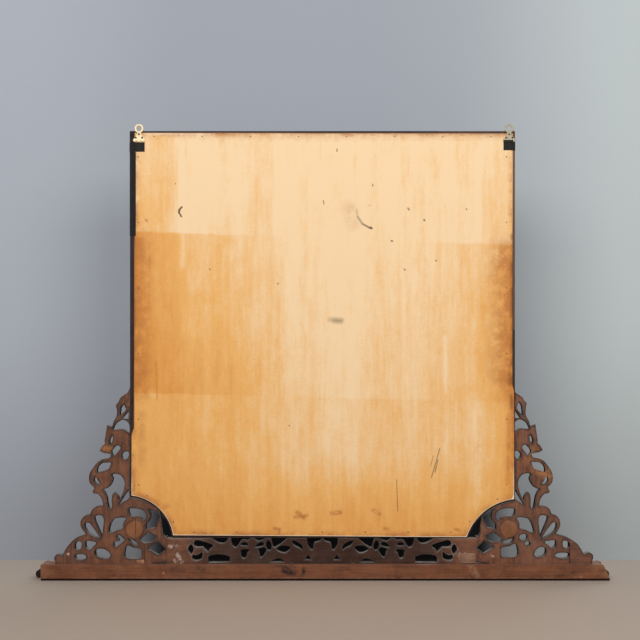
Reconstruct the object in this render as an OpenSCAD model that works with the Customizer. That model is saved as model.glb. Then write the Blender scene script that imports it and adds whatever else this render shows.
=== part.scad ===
// Floor mirror with a moulded frame, pierced carved side boards and a low plinth.
// X runs across (right as seen from the glass side), the glass faces -Y, Z is up.

/* [Base] */
// How far the base stands out past each wing
base_out = 53.5; // [40:0.5:70]
// Height of the base
base_h = 41; // [36:1:50]
// Depth of the base, front to back
base_d = 100; // [92:1:120]
// Chamfer along the rail's lower rear edge
rail_chamfer = 3.5; // [1:0.5:6]
// How far the rail's square end stands inside the bottom bead
rail_end_in = 24; // [16:1:28]
// How far the bottom bead stands out past the top edge of the moulding
mould_out = 22; // [20:1:28]
// Width of the moulding's flat top edge
mould_top = 30; // [24:1:32]
// Radius of the bottom bead
bead_r = 10.5; // [8:0.5:12]
// Height of the moulding's top lip
lip_h = 5; // [3:0.5:7]

/* [Frame] */
// Width of the frame
frame_w = 983; // [900:1:1060]
// Height of the frame
frame_h = 1039; // [940:1:1140]
// Width of the frame's face
face_w = 58; // [50:1:70]
// Thickness of the frame
frame_t = 34; // [30:1:42]
// Width of the rebate that holds the glass
rebate_w = 8; // [6:1:12]
// Depth of the rebate from the back
rebate_d = 20; // [16:1:23]
// Radius of the concave lower corner on the right
notch_r_right = 118; // [105:1:132]
// How far that corner's centre lies outside the frame's side
notch_x_right = 10; // [4:1:16]
// How far that corner's centre lies below the frame's bottom
notch_z_right = 13; // [6:1:20]
// Radius of the lower corner on the left, which was cut shallower
notch_r_left = 140; // [130:1:150]
// How far that corner's centre lies outside the frame's side
notch_x_left = 12.5; // [8:0.5:18]
// How far that corner's centre lies below the frame's bottom
notch_z_left = 44.5; // [40:0.5:50]
// How far the frame's back stands in from the rear face of the base
back_set = 18; // [12:1:22]

/* [Glass and back] */
// Thickness of the glass
glass_t = 4.5; // [3:0.5:6]
// Play round the glass in its rebate
glass_fit = 1; // [0.5:0.5:2]
// Width of the packing strips behind the glass
strip_w = 12; // [8:1:18]
// Thickness of the backboard
board_t = 4; // [3:0.5:8]
// Margin of the frame that shows beside the backboard
board_in = 5; // [2:0.5:7]
// Extra margin at the top of the right edge, where the board is trimmed
board_trim = 7; // [2:0.5:9]
// How much lower the backboard's top edge lies at the left than at the right
board_slant = 1.5; // [0:0.5:6]
// How much lower its bottom edge lies at the left than at the right
board_foot = 6; // [0:0.5:7]
// How far the nails stand in from the edge of the backboard
nail_in = 10; // [6:1:14]
// Length of a nail
nail_l = 18; // [12:1:22]
// Radius of a nail's shank
nail_r = 0.8; // [0.6:0.1:1.2]

/* [Carved boards] */
// Thickness of the carved boards
fret_t = 24; // [18:1:26]
// Height of the carved bosses on the front
boss_h = 4; // [2:0.5:6]
// Radius of the bosses on the wings
wing_boss_r = 15; // [10:0.5:18]
// Radius of the inner bosses on the frieze
inner_boss_r = 11; // [7:0.5:13]
// Radius of the outer bosses on the frieze
outer_boss_r = 7; // [4:0.5:8]
// Height of the frieze, from the base to the frame
frieze_h = 66; // [58:1:80]
// How far a wing reaches out past the frame
wing_w = 195; // [170:1:215]
// Height of a wing above the base
wing_h = 450; // [400:1:520]
// How far the right corner board reaches in under the frame
reach_right = 94; // [90:1:98]
// How far the left corner board reaches in under the frame
reach_left = 100; // [96:1:104]
// How far the right wing's joint lies inside the frame's side
joint_right = 14.5; // [10:0.5:20]
// How far the left wing's joint lies inside the frame's side
joint_left = 38; // [34:0.5:42]
// Where the left wing's separate end begins, out from the frame
end_joint = 139.5; // [136:0.5:146]
// Length of the let-in patch
patch_l = 20; // [14:1:24]
// Height of the let-in patch
patch_h = 10; // [7:0.5:11]
// Depth of the let-in patch
patch_t = 4; // [2:0.5:8]
// Length of the cleat on the frieze
cleat_l = 38; // [30:1:46]
// Height of the cleat
cleat_h = 26; // [18:1:32]
// Thickness of the cleat
cleat_t = 3.5; // [2:0.5:6]

/* [Hangers and tape] */
// Thickness of a hanger plate
plate_t = 1.5; // [1:0.1:2.5]
// Radius of the hole in a hanger's ring
eye_r = 6.5; // [5:0.25:8]
// Width of the metal round that hole
eye_rim = 5.25; // [3:0.25:7]
// Distance of the right ring's centre in from the frame's side
eye_in_right = 23.5; // [22.5:0.5:50]
// Distance of the left ring's centre in from the frame's side
eye_in_left = 15.5; // [14.5:0.5:50]
// Height of the ring's centre above the top of the frame
eye_up = 5; // [3:0.5:9]
// Radius of a hanger screw's shank
hscrew_r = 1.4; // [1:0.1:1.8]
// Length of a hanger screw
hscrew_l = 15; // [10:1:18]
// Thickness of the cloth tape
tape_t = 0.6; // [0.3:0.1:1]
// Height of a tape patch
tape_h = 24; // [16:1:30]
// How far the left patch laps over the foot of its hanger
tape_lap = 6; // [2:0.5:7]
// How far the tape strip laps over the edge of the backboard
strip_lap = 3.5; // [1:0.5:6]
// How far the tape wraps round the side of the frame
tape_wrap = 20; // [10:1:26]

/* [Dowels and screws] */
// Radius of the dowels in the base
dowel_r = 4; // [3:0.5:5]
// Depth of a dowel in each of its two pieces
dowel_d = 18; // [12:1:20]
// Depth of a dowel between the frame and a wing
wing_dowel_d = 17; // [10:1:18]
// Radius of the dowels in the frame
frame_dowel_r = 3; // [2:0.5:4]
// Radius of the base screws' shanks
screw_r = 2.2; // [1.5:0.1:3]
// Play round dowels, screws and nails
fit = 0.1; // [0.05:0.05:0.3]

/* [Hidden] */
$fn = 64;

half_w = frame_w / 2 + wing_w + base_out; // half the base over its bottom bead
rear_y = base_d / 2;
mould_w = mould_out + mould_top;        // full width of the moulding
rail_y = -rear_y + mould_w;             // back of the moulding, front face of the rail
back_y = rear_y - back_set;             // back of the frame and of the carved boards
fret_y = back_y - fret_t / 2;           // middle of the carved boards
side_x = frame_w / 2;
foot_z = base_h + frieze_h;             // bottom of the frame
top_z = foot_z + frame_h;
// Centre and radius of each concave corner.
function nx(left) = side_x + (left ? notch_x_left : notch_x_right);
function nz(left) = foot_z - (left ? notch_z_left : notch_z_right);
function nr(left) = left ? notch_r_left : notch_r_right;
sight = face_w - rebate_w;              // outer edge to the wall of the rebate
dowel_b = rebate_d - 6;                 // depth of the frame's dowels from the back
walnut = [0.36, 0.2, 0.11];
oak = [0.45, 0.27, 0.15];
deal = [0.72, 0.56, 0.38];
brass = [0.78, 0.66, 0.4];
steel = [0.6, 0.6, 0.62];
black = [0.06, 0.06, 0.07];

// A board standing upright: the drawing lies in X and Z, its back is at y.
module slab(y, t) translate([0, y, 0]) rotate([90, 0, 0]) linear_extrude(t) children();
module flip(left) mirror([left ? 1 : 0, 0, 0]) children();
// A hole or pin that starts at the back and runs forward, from depth a to depth b.
module pin_in(x, z, y, a, b, r) translate([x, y, z]) rotate([90, 0, 0])
    translate([0, 0, a]) cylinder(h = b - a, r = r);

// Smooth closed curve through points; a point with a third value is a sharp corner.
function unit(v) = v / max(norm(v), 0.001);
function span(P, i, k) = let (
    n = len(P), a = P[(i + n - 1) % n], b = P[i], c = P[(i + 1) % n], d = P[(i + 2) % n],
    p0 = [a[0], a[1]], p1 = [b[0], b[1]], p2 = [c[0], c[1]], p3 = [d[0], d[1]],
    l = norm(p2 - p1), s1 = len(b) == 3, s2 = len(c) == 3,
    g1 = unit(p2 - p0) * l, g2 = unit(p3 - p1) * l,
    m1 = s1 ? (s2 ? p2 - p1 : 1.5 * (p2 - p1) - 0.5 * g2) : g1,
    m2 = s2 ? (s1 ? p2 - p1 : 1.5 * (p2 - p1) - 0.5 * g1) : g2,
    kk = s1 && s2 ? 1 : k)
    [for (j = [0:kk - 1]) let (t = j / kk, q = t * t, w = q * t)
        (2 * w - 3 * q + 1) * p1 + (w - 2 * q + t) * m1 + (3 * q - 2 * w) * p2 + (w - q) * m2];
function curve(P, k = 3) = [for (i = [0:len(P) - 1]) each span(P, i, k)];
function arc(cx, cy, r, a, b, n) =
    [for (i = [0:n]) let (t = a + (b - a) * i / n) [cx + r * cos(t), cy + r * sin(t)]];
function lens(cx, cy, hw, hh, n = 5) = concat(
    [for (i = [0:n]) let (s = -1 + 2 * i / n) [cx + hw * (1 - s * s), cy + hh * s]],
    [for (i = [1:n - 1]) let (s = 1 - 2 * i / n) [cx - hw * (1 - s * s), cy + hh * s]]);

// Base
function base_profile() = let (
    bx = mould_out - bead_r, cz = base_h - lip_h, cr = cz - 2 * bead_r - 1)
    concat([[-mould_top, 0]], arc(bx, bead_r, bead_r, -90, 76, 10),
        [[bx + 2.5, 2 * bead_r + 1]],
        [for (i = [1:6]) let (t = -90 - 90 * i / 6)
            [bx + 2.5 + cr * 0.95 * cos(t), cz + cr * sin(t)]],
        [[1.2, base_h - 1.6], [0, base_h], [-mould_top, base_h]]);

module base_rear_rail() color(oak) difference() {
    intersection() {
        slab(rear_y, rear_y - rail_y) polygon([
            [half_w - rail_end_in, 0], [half_w - rail_end_in, base_h],
            [-half_w + mould_out + 5, base_h], [-half_w + 10, 10], [-half_w + 10, 0]]);
        translate([half_w + 10, 0, 0]) rotate([0, -90, 0]) linear_extrude(2 * half_w + 20)
            polygon([[0, rail_y], [base_h, rail_y], [base_h, rear_y],
                [rail_chamfer, rear_y], [0, rear_y - rail_chamfer]]);
    }
    for (x = base_dowel_x()) translate([x, fret_y, base_h - dowel_d])
        cylinder(h = dowel_d + 1, r = dowel_r + fit);
    for (x = base_screw_x()) translate([x, fret_y, -1]) {
        cylinder(h = base_h + 2, r = screw_r + fit);
        cylinder(h = screw_head_z + 4, r = screw_head_r + 0.5);
    }
}
screw_head_z = 5;
screw_head_r = 4.5;
screw_up = 22;

module base_front_moulding() color(oak) intersection() {
    translate([-half_w, -rear_y + mould_out, 0]) rotate([90, 0, 90])
        linear_extrude(2 * half_w) mirror([1, 0]) polygon(base_profile());
    linear_extrude(base_h) polygon([[-half_w, -rear_y], [half_w, -rear_y],
        [half_w - mould_w, rail_y], [-half_w + mould_w, rail_y]]);
}
// A mitred return closes each end of the moulding against the rail.
module base_return(left) color(oak) flip(left) intersection() {
    translate([half_w - mould_out, rail_y, 0]) rotate([90, 0, 0])
        linear_extrude(mould_w) polygon(base_profile());
    linear_extrude(base_h) polygon([[half_w, -rear_y], [half_w, rail_y],
        [half_w - mould_w, rail_y]]);
}
module base_return_left() base_return(true);
module base_return_right() base_return(false);

// Screws that come up through the rail into the carved boards.
function base_screw_x() = [0, frieze_x(220), -frieze_x(220), side_x + 95.5 * wing_k,
    -side_x - 95.5 * wing_k];
module base_screws() color(steel) for (x = base_screw_x())
    translate([x, fret_y, screw_head_z]) {
        cylinder(h = 3, r = screw_head_r);
        cylinder(h = base_h - screw_head_z + screw_up, r = screw_r);
    }
function base_dowel_x() = [for (s = [-1, 1], x = [frieze_x(177), frieze_x(368),
    side_x - 48 * corner_k, side_x + 30 * wing_k, side_x + 155 * wing_k]) s * x];
module base_dowels() color(deal) for (x = base_dowel_x())
    translate([x, fret_y, base_h - dowel_d + 0.5])
        cylinder(h = 2 * dowel_d - 1, r = dowel_r);
module board_holes() {
    for (x = base_dowel_x()) translate([x, fret_y, base_h - 1])
        cylinder(h = dowel_d + 1, r = dowel_r + fit);
    for (x = base_screw_x()) translate([x, fret_y, base_h - 1])
        cylinder(h = screw_up + 2, r = screw_r + fit);
}

// Carved boards
// The side pattern is drawn with u out from the frame's side and v up from the base.
// Inside the frame's side it follows the concave corner, outside it the wing's own size.
corner_k = reach_right / 94;
wing_k = wing_w / 195;
foot_k = (frieze_h - notch_z_right + notch_r_right) / 171;
rise_k = (wing_h - 171 * foot_k) / 279;
// The left side was sawn a little narrower: where each distance of the pattern lands there,
// above and below the fan's foot, and where each height lands.
HIGH = [[-94, -100], [-42, -50], [-11, -15.5], [0, -3], [14, 8], [50, 43.5], [84, 77],
    [105, 97], [127, 116], [200, 200]];
LOW = [[-94, -100], [-42, -50], [-11, -16], [0, -4], [13, 7], [50, 50], [72, 66], [87, 77],
    [114, 105], [124, 122], [141, 139], [156, 158], [174, 176], [194, 201]];
RISE = [[0, 0], [10, 14], [45, 49], [60, 61], [150, 150], [200, 201], [350, 352],
    [385, 386], [404, 410], [450, 447]];
function drawn(p, left) = !left ? p : let (w = min(1, max(0, (p[1] - 60) / 30)))
    concat([w * lookup(p[0], HIGH) + (1 - w) * lookup(p[0], LOW), lookup(p[1], RISE)],
        len(p) == 3 ? [1] : []);
function place(q, left) = let (p = drawn(q, left)) concat([side_x
    + p[0] * (p[0] > 0 ? wing_k : corner_k),
    base_h + (p[1] > 171 ? 171 * foot_k + (p[1] - 171) * rise_k : p[1] * foot_k)],
    len(p) == 3 ? [1] : []);
function placed(P, left) = curve([for (p = P) place(p, left)]);

SIDE = [[0, 450, 1], [8, 436], [16, 431], [25, 423], [30, 413], [36, 404], [34, 393],
    [34, 381], [37, 372], [42, 363], [45, 353], [46, 349, 1], [59, 354, 1], [61, 339],
    [65, 314], [65, 306], [70, 302], [78, 289, 1], [68, 283], [51, 280], [50, 274, 1],
    [56, 269], [70, 267], [83, 259], [94, 246], [101, 235], [105, 222], [104, 210],
    [99, 201], [92, 194], [97, 184, 1], [92, 179], [83, 178], [74, 168], [70, 157],
    [68, 146, 1], [78, 148], [87, 146], [96, 139], [101, 129], [102, 124, 1], [107, 126],
    [115, 123], [123, 115], [127, 105], [126, 95], [120, 85], [113, 76, 1], [127, 71],
    [137, 67], [147, 59], [156, 49], [164, 38], [169, 30], [174, 20, 1], [179, 23],
    [185, 25], [190, 22], [194, 14], [192, 7], [191, 0, 1], [-61, 0, 1], [-94, 3, 1],
    [-94, 70, 1], [-88, 69, 1], [-84, 78], [-83, 92], [-80, 111], [-76, 135, 1],
    [-60, 170, 1], [0, 200, 1]];
// Openings of the side pattern, from the top down.
SIDE_HOLES = [
    [[16, 406], [23, 400], [25, 391], [26, 378, 1], [20, 384], [11, 393], [13, 400]],
    [[4, 391, 1], [21, 371, 1], [4, 370, 1]],
    [[44, 344, 1], [37, 358], [27, 365], [18, 367], [8, 363], [2, 354], [2, 333, 1],
        [8, 337], [17, 343], [27, 344], [38, 342]],
    [[45, 328, 1], [51, 321], [53, 313], [51, 305, 1], [46, 311], [44, 321]],
    [[34, 302], [43, 295], [48, 286], [40, 274, 1], [34, 282], [27, 291], [25, 298]],
    [[11, 286], [4, 285], [5, 272], [15, 266], [22, 276], [19, 283]],
    [[49, 258, 1], [61, 258], [73, 256], [83, 246], [84, 232, 1], [78, 235], [65, 238],
        [55, 243], [50, 253]],
    [[90, 222, 1], [93, 213], [86, 204], [75, 203, 1], [81, 210], [86, 220]],
    [[47, 227], [29, 228], [18, 218], [14, 205], [16, 190], [21, 176], [29, 162, 1],
        [31, 173], [39, 183, 1], [45, 176], [47, 162], [47, 145], [52, 140], [57, 153],
        [60, 170], [66, 184], [70, 188, 1], [55, 196], [47, 207], [44, 218]],
    [[5, 188, 1], [3, 168], [18, 158], [30, 149, 1], [20, 166]],
    [[3, 139], [-10, 141], [-25, 139], [-36, 133], [-42, 121], [-35, 111], [-28, 118],
        [-19, 121], [-7, 120], [-1, 122]],
    [[-46, 138, 1], [-54, 137], [-63, 135], [-72, 130], [-76, 119], [-70, 106], [-64, 92, 1],
        [-41, 88, 1], [-41, 100], [-48, 109], [-52, 119], [-51, 130]],
    [[-25, 61, 1], [-31, 66], [-39, 73], [-43, 80, 1], [-50, 78], [-59, 73], [-68, 71, 1],
        [-64, 63], [-56, 56], [-45, 53], [-34, 54]],
    [[-72, 57, 1], [-91, 36, 1], [-72, 22, 1], [-52, 34], [-46, 38], [-57, 47]],
    [[7, 46], [-8, 41], [-19, 39], [-28, 36], [-29, 26], [-28, 15], [-12, 13], [12, 17], [13, 32]],
    [[11, 117], [35, 116], [44, 111], [51, 98], [54, 81, 1], [49, 78], [33, 86],
        [19, 90], [18, 100], [14, 110]],
    [[89, 121], [70, 121], [69, 91], [72, 68, 1], [82, 92], [91, 114]],
    [[116, 102], [105, 104], [97, 95], [88, 83], [75, 62, 1], [97, 72], [111, 84]],
    [[79, 38], [88, 34], [89, 26], [84, 18], [71, 14], [58, 13], [50, 20], [55, 30],
        [66, 37]],
    [[126, 56], [135, 56], [141, 48], [140, 38], [135, 35], [127, 38], [124, 48]],
    [[112, 57], [97, 57], [87, 53], [95, 44], [103, 36], [112, 40], [114, 48]],
    [[139, 22], [117, 23], [112, 16], [121, 10], [133, 10], [140, 15]]];
// Beside the disc the right wing has one winding slit, the left wing two small openings.
// Under the disc each has a crescent.
SLIT_RIGHT = [[[28, 73], [19, 66], [14, 61], [17, 57], [27, 49], [36, 42], [42, 48],
    [40, 56], [28, 59], [35, 69]],
    [[4, 63, 1], [-5, 61], [-14, 56], [-21, 48, 1], [-12, 47], [-4, 52], [1, 57]]];
SLIT_LEFT = [[[20, 73], [34, 72], [32, 61], [19, 61]], [[31, 54], [39, 53], [39, 43],
    [30, 44]],
    [[3, 67, 1], [-6, 62], [-16, 60], [-25, 55, 1], [-24, 47, 1], [-14, 46], [-4, 51]]];

// The frame's outline, which the carved boards meet, drawn back by g.
module frame_outline(g) difference() {
    translate([-side_x, foot_z]) square([frame_w, frame_h]);
    for (left = [true, false]) translate([(left ? -1 : 1) * nx(left), nz(left)])
        circle(r = nr(left) - g, $fn = 128);
}
module side_pattern(left) difference() {
    polygon(placed(SIDE, left));
    for (h = SIDE_HOLES) polygon(placed(h, left));
    for (h = left ? SLIT_LEFT : SLIT_RIGHT) polygon(placed(h, left));
    flip(left) frame_outline(2 * fit);
}
// Part of the side pattern between two joints, a and b out from the frame's side.
module side_board(left, a, b) color(walnut) flip(left) difference() {
    slab(back_y, fret_t) intersection() {
        side_pattern(left);
        translate([side_x + a, base_h]) square([b - a, wing_h + 1]);
    }
    board_holes();
    wing_dowel_holes();
}
module boss(u, v, r, left) let (p = place([u, v], left)) translate([p[0], back_y - fret_t, p[1]])
    rotate([90, 0, 0]) rotate_extrude() polygon(concat([[0, -1]],
        [[r, -1], [r, 0]], [for (i = [1:5]) let (t = 18 * i) [r * cos(t), boss_h * sin(t)]]));

module wing(left) { side_board(left, left ? -joint_left : -joint_right,
    left ? end_joint : wing_w + 5);
    color(walnut) flip(left) { boss(21, 319, wing_boss_r, left); boss(64, 213, wing_boss_r, left); } }
module wing_left() wing(true);
module wing_right() wing(false);
module wing_end_left() side_board(true, end_joint, wing_w + 5);
module corner_scroll_left() side_board(true, -reach_left, -joint_left);
module corner_scroll_right() difference() {
    side_board(false, -reach_right, -joint_right);
    translate([side_x - joint_right - patch_l - 2, back_y - patch_t, base_h - 1])
        cube([patch_l, patch_t + 1, patch_h + 1]);
}
module joint_patch() color(oak)
    translate([side_x - joint_right - patch_l - 2, back_y - patch_t, base_h])
        cube([patch_l, patch_t + 0.3, patch_h]);

// The frieze is drawn with p out from the middle and q up from the base.
frieze_half = side_x - reach_right;
frieze_left = side_x - reach_left;
function frieze_x(p) = p * frieze_half / 397;
function frieze_p(P, s) = curve([for (p = P) concat([s * frieze_x(p[0]),
    base_h + p[1] * frieze_h / 66], len(p) == 3 ? [1] : [])]);
FRIEZE_HOLES = [
    [[326, 44], [325, 59], [305, 57], [287, 51], [279, 46], [289, 36], [292, 29, 1],
        [300, 36], [307, 42]],
    [[331, 23, 1], [332, 12], [321, 8], [308, 14], [307, 31, 1], [320, 22]],
    [[288, 70, 1], [256, 51], [238, 70, 1]],
    [[291, 18], [281, 22], [263, 24], [245, 21], [236, 17, 1], [237, 4, 1], [291, 3, 1]],
    [[233, 70, 1], [232, 54], [224, 41], [215, 48], [210, 57], [201, 62], [190, 60],
        [184, 66], [182, 70, 1]],
    [[174, 70, 1], [172, 64], [165, 58], [157, 60], [148, 63], [144, 70, 1]],
    [[209, 47], [205, 53], [195, 54], [188, 47, 1], [197, 45]],
    [[173, 42, 1], [164, 52], [152, 55], [150, 48], [157, 43]],
    [[210, 34], [189, 37, 1], [187, 32], [192, 28], [195, 18], [200, 13], [206, 16],
        [208, 27]],
    [[166, 37, 1], [154, 41], [147, 41], [143, 36], [148, 25], [153, 18], [158, 16],
        [161, 27]],
    [[138, 59], [130, 47], [136, 33], [144, 47]],
    [[131, 70, 1], [86, 70, 1], [122, 41], [128, 52]],
    [[117, 37], [107, 45], [93, 46], [82, 42], [89, 31], [98, 27], [111, 31]],
    [[136, 4, 1], [122, 11], [108, 13], [96, 4, 1]],
    [[80, 60, 1], [65, 56], [52, 46], [51, 34, 1], [61, 41], [73, 47]],
    [[39, 70, 1], [38, 50], [30, 36], [25, 36], [21, 53], [8, 57], [3, 62], [1, 70, 1]],
    [[46, 10, 1], [28, 10, 1], [36, 23, 1]]];
module frieze() {
    color(walnut) difference() {
        slab(back_y, fret_t) difference() {
            translate([-frieze_left, base_h]) square([frieze_left + frieze_half, frieze_h]);
            for (s = [-1, 1]) {
                for (h = FRIEZE_HOLES) polygon(frieze_p(h, s));
                polygon([for (p = lens(336, 37, 7, 13.5)) [s * frieze_x(p[0]),
                    base_h + p[1] * frieze_h / 66]]);
                translate([s * frieze_x(77), base_h + 5 * frieze_h / 66]) circle(r = 2.2);
            }
        }
        board_holes();
        frieze_dowel_holes();
    }
    color(walnut) for (s = [-1, 1], c = [[68, 26, inner_boss_r], [318, 33, outer_boss_r]])
        translate([s * frieze_x(c[0]), back_y - fret_t, base_h + c[1] * frieze_h / 66])
            rotate([90, 0, 0]) rotate_extrude() polygon(concat([[0, -1], [c[2], -1],
                [c[2], 0]], [for (i = [1:5]) let (t = 18 * i)
                [c[2] * cos(t), boss_h * sin(t)]]));
}
module repair_cleat() color(oak) slab(back_y + cleat_t, cleat_t)
    translate([-frieze_left + 1, base_h + 1]) polygon(concat(
        arc(cleat_l - 6, 6, 6, -90, 0, 5), arc(cleat_l - 6, cleat_h - 6, 6, 0, 90, 5),
        arc(6, cleat_h - 6, 6, 90, 180, 5), arc(6, 6, 6, 180, 270, 5)));

// Dowels from the frame's stiles into the wings, and from the frieze into the frame.
wing_dowel_v = [246, 316, 418];
function wing_dowel_z(v) = place([0, v], false)[1];
module wing_dowel_holes() for (v = wing_dowel_v)
    translate([side_x - wing_dowel_d, fret_y, wing_dowel_z(v)]) rotate([0, 90, 0])
        cylinder(h = 2 * wing_dowel_d, r = frame_dowel_r + fit);
module wing_dowels() color(deal) for (s = [-1, 1], v = wing_dowel_v)
    translate([s * side_x - wing_dowel_d + 0.5, fret_y, wing_dowel_z(v)]) rotate([0, 90, 0])
        cylinder(h = 2 * wing_dowel_d - 1, r = frame_dowel_r);
module frieze_dowel_holes() for (s = [-1, 1])
    translate([s * frieze_x(347), fret_y, foot_z - dowel_d])
        cylinder(h = 2 * dowel_d, r = frame_dowel_r + fit);
module frieze_dowels() color(deal) for (s = [-1, 1])
    translate([s * frieze_x(347), fret_y, foot_z - dowel_d + 0.5])
        cylinder(h = 2 * dowel_d - 1, r = frame_dowel_r);

// Frame
// Section: a runs in from the outer edge, b runs forward from the back.
function frame_profile() = let (t = frame_t, q = face_w - rebate_w, s = rebate_d)
    concat([[0, 0], [q, 0], [q, s], [face_w, s], [face_w, s + 3]],
        arc(face_w - 4, s + 4, 4, 0, 180, 8), [[face_w - 9, s + 4], [face_w - 10, s + 5.5]],
        [for (i = [1:7]) let (e = i / 7, w = face_w - 10 - 21)
            [face_w - 10 - w * e, s + 5.5 + (t - 6 - s - 5.5) * (1 - cos(90 * e))]],
        [[20, t - 6]], arc(11.5, t - 7, 7, 10, 170, 9), [[3.5, t - 8], [2, t - 9],
        [2, t - 12], [0, t - 13]]);
function joint_side(a, left) = [side_x - a, nz(left)
    + sqrt(pow(nr(left) + a, 2) - pow(a + nx(left) - side_x, 2))];
function joint_foot(a, left) = [nx(left) - sqrt(pow(nr(left) + a, 2)
    - pow(a + foot_z - nz(left), 2)), foot_z + a];
cuts = [for (i = [-1:9]) i * (face_w + 4) / 8];

module frame_stile(left) color(walnut) flip(left) difference() {
    intersection() {
        translate([side_x, back_y, foot_z]) rotate([0, 0, 180]) linear_extrude(frame_h + 5)
            polygon(frame_profile());
        slab(back_y + 1, frame_t + 2) polygon(concat([[side_x + 5, top_z + 5],
            [side_x - face_w - 9, top_z - face_w - 9]],
            [for (i = [len(cuts) - 1:-1:0]) joint_side(cuts[i], left)]));
    }
    side_nail_holes();
    screw_holes(left);
    wing_dowel_holes();
    frame_dowel_holes(left);
}
module frame_left_stile() frame_stile(true);
module frame_right_stile() frame_stile(false);
module frame_top_rail() color(walnut) difference() {
    intersection() {
        translate([-side_x, back_y, top_z]) mirror([0, 0, 1]) rotate(a = 180, v = [1, 0, 1])
            linear_extrude(frame_w) polygon(frame_profile());
        slab(back_y + 1, frame_t + 2) polygon([[-side_x - 5, top_z + 5],
            [side_x + 5, top_z + 5], [side_x - face_w - 9, top_z - face_w - 9],
            [-side_x + face_w + 9, top_z - face_w - 9]]);
    }
    for (p = top_nails()) pin_in(p[0], p[1], back_y, -1, nail_l, nail_r + fit);
    screw_holes(false);
    flip(true) screw_holes(true);
    for (left = [true, false]) flip(left) frame_dowel_holes(left);
}
module frame_bottom_rail() color(walnut) difference() {
    intersection() {
        translate([-side_x, back_y, foot_z]) rotate(a = 180, v = [1, 0, 1])
            linear_extrude(frame_w) polygon(frame_profile());
        slab(back_y + 1, frame_t + 2) polygon(concat([for (a = cuts) joint_foot(a, false)],
            [for (i = [len(cuts) - 1:-1:0]) let (p = joint_foot(cuts[i], true))
                [-p[0], p[1]]]));
    }
    for (p = foot_nails()) pin_in(p[0], p[1], back_y, -1, nail_l, nail_r + fit);
    frieze_dowel_holes();
    for (left = [true, false]) flip(left) frame_dowel_holes(left);
}
module frame_corner(left) color(walnut) flip(left) difference() {
    intersection() {
        translate([nx(left), back_y, nz(left)]) rotate([90, 0, 0]) rotate([0, 0, 80])
            rotate_extrude(angle = 110, $fn = 96)
                polygon([for (p = frame_profile()) [nr(left) + p[0], p[1]]]);
        slab(back_y + 1, frame_t + 2) polygon(concat([[nx(left), nz(left)]],
            [for (a = cuts) joint_side(a, left)],
            [[nx(left) - nr(left) - face_w, nz(left) + nr(left) + face_w]],
            [for (i = [len(cuts) - 1:-1:0]) joint_foot(cuts[i], left)]));
    }
    for (p = arc_nails(left)) pin_in(p[0], p[1], back_y, -1, nail_l, nail_r + fit);
    frame_dowel_holes(left);
}
module frame_left_corner() frame_corner(true);
module frame_right_corner() frame_corner(false);

// One dowel across each joint of the frame: a mitre and the two joints of a corner.
dowel_mid = face_w / 2 - 1;
module frame_dowel_set(left, r, l) translate([0, back_y - dowel_b, 0]) {
    translate([side_x - dowel_mid, 0, top_z - dowel_mid]) rotate([0, 45, 0])
        cylinder(h = l, r = r, center = true);
    translate([side_x - dowel_mid, 0, joint_side(dowel_mid, left)[1]])
        cylinder(h = l, r = r, center = true);
    translate([joint_foot(dowel_mid, left)[0], 0, foot_z + dowel_mid]) rotate([0, 90, 0])
        cylinder(h = l, r = r, center = true);
}
module frame_dowel_holes(left) frame_dowel_set(left, frame_dowel_r + fit, 2 * dowel_d);
module frame_dowels() color(deal) for (left = [true, false]) flip(left)
    frame_dowel_set(left, frame_dowel_r, 2 * dowel_d - 1);

// Glass, packing and backboard
glass_y = back_y - rebate_d + glass_t;   // back of the glass
module mirror_glass() color([0.75, 0.8, 0.82]) slab(glass_y, glass_t) difference() {
    translate([-side_x + sight + glass_fit, foot_z + sight + glass_fit])
        square([frame_w - 2 * (sight + glass_fit), frame_h - 2 * (sight + glass_fit)]);
    for (left = [true, false]) translate([(left ? -1 : 1) * nx(left), nz(left)])
        circle(r = nr(left) + sight + glass_fit, $fn = 128);
}
module packing_strips() color(deal) {
    t = rebate_d - glass_t;
    in = sight + 0.5;
    low = [for (left = [true, false]) joint_side(in, left)[1] + 2];
    end = [for (left = [true, false]) joint_foot(in, left)[0] - 2];
    slab(back_y, t) translate([-side_x + in, top_z - in - strip_w])
        square([frame_w - 2 * in, strip_w]);
    slab(back_y, t) translate([-end[0], foot_z + in]) square([end[0] + end[1], strip_w]);
    for (i = [0, 1]) slab(back_y, t)
        translate([(2 * i - 1) * (side_x - in - strip_w / 2) - strip_w / 2, low[i]])
            square([strip_w, top_z - in - strip_w - 0.5 - low[i]]);
}

edge_x = side_x - board_in;
module backboard_face() difference() {
    polygon([[-edge_x - 2.5, foot_z + board_in - 0.5 - board_foot / 2],
        [edge_x + 1, foot_z + board_in - 0.5 + board_foot / 2],
        [edge_x + 1, foot_z + 0.255 * frame_h], [edge_x - board_trim + 2, foot_z
        + 0.27 * frame_h], [edge_x - board_trim + 1, foot_z + 0.72 * frame_h],
        [edge_x - board_trim, foot_z + 0.74 * frame_h], [edge_x - board_trim,
        top_z - board_in], [-edge_x, top_z - board_in - board_slant],
        [-edge_x + 1.5, foot_z + 0.6 * frame_h], [-edge_x + 1.5, foot_z + 0.375 * frame_h],
        [-edge_x - 2.5, foot_z + 0.36 * frame_h]]);
    for (left = [true, false]) translate([(left ? -1 : 1) * nx(left), nz(left)])
        circle(r = nr(left) + board_in - 1, $fn = 128);
}
module backboard() color(deal) difference() {
    slab(back_y + board_t, board_t) backboard_face();
    for (p = all_nails()) pin_in(p[0], p[1], back_y + board_t, -1, board_t + 1,
        nail_r + fit);
    screw_holes(false);
    flip(true) screw_holes(true);
}
nail_x = edge_x - board_trim - nail_in;
function top_nails() = [for (i = [-4:3]) [(i + 0.5) * (nail_x - 40) / 3.5,
    top_z - board_in - nail_in]];
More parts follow.
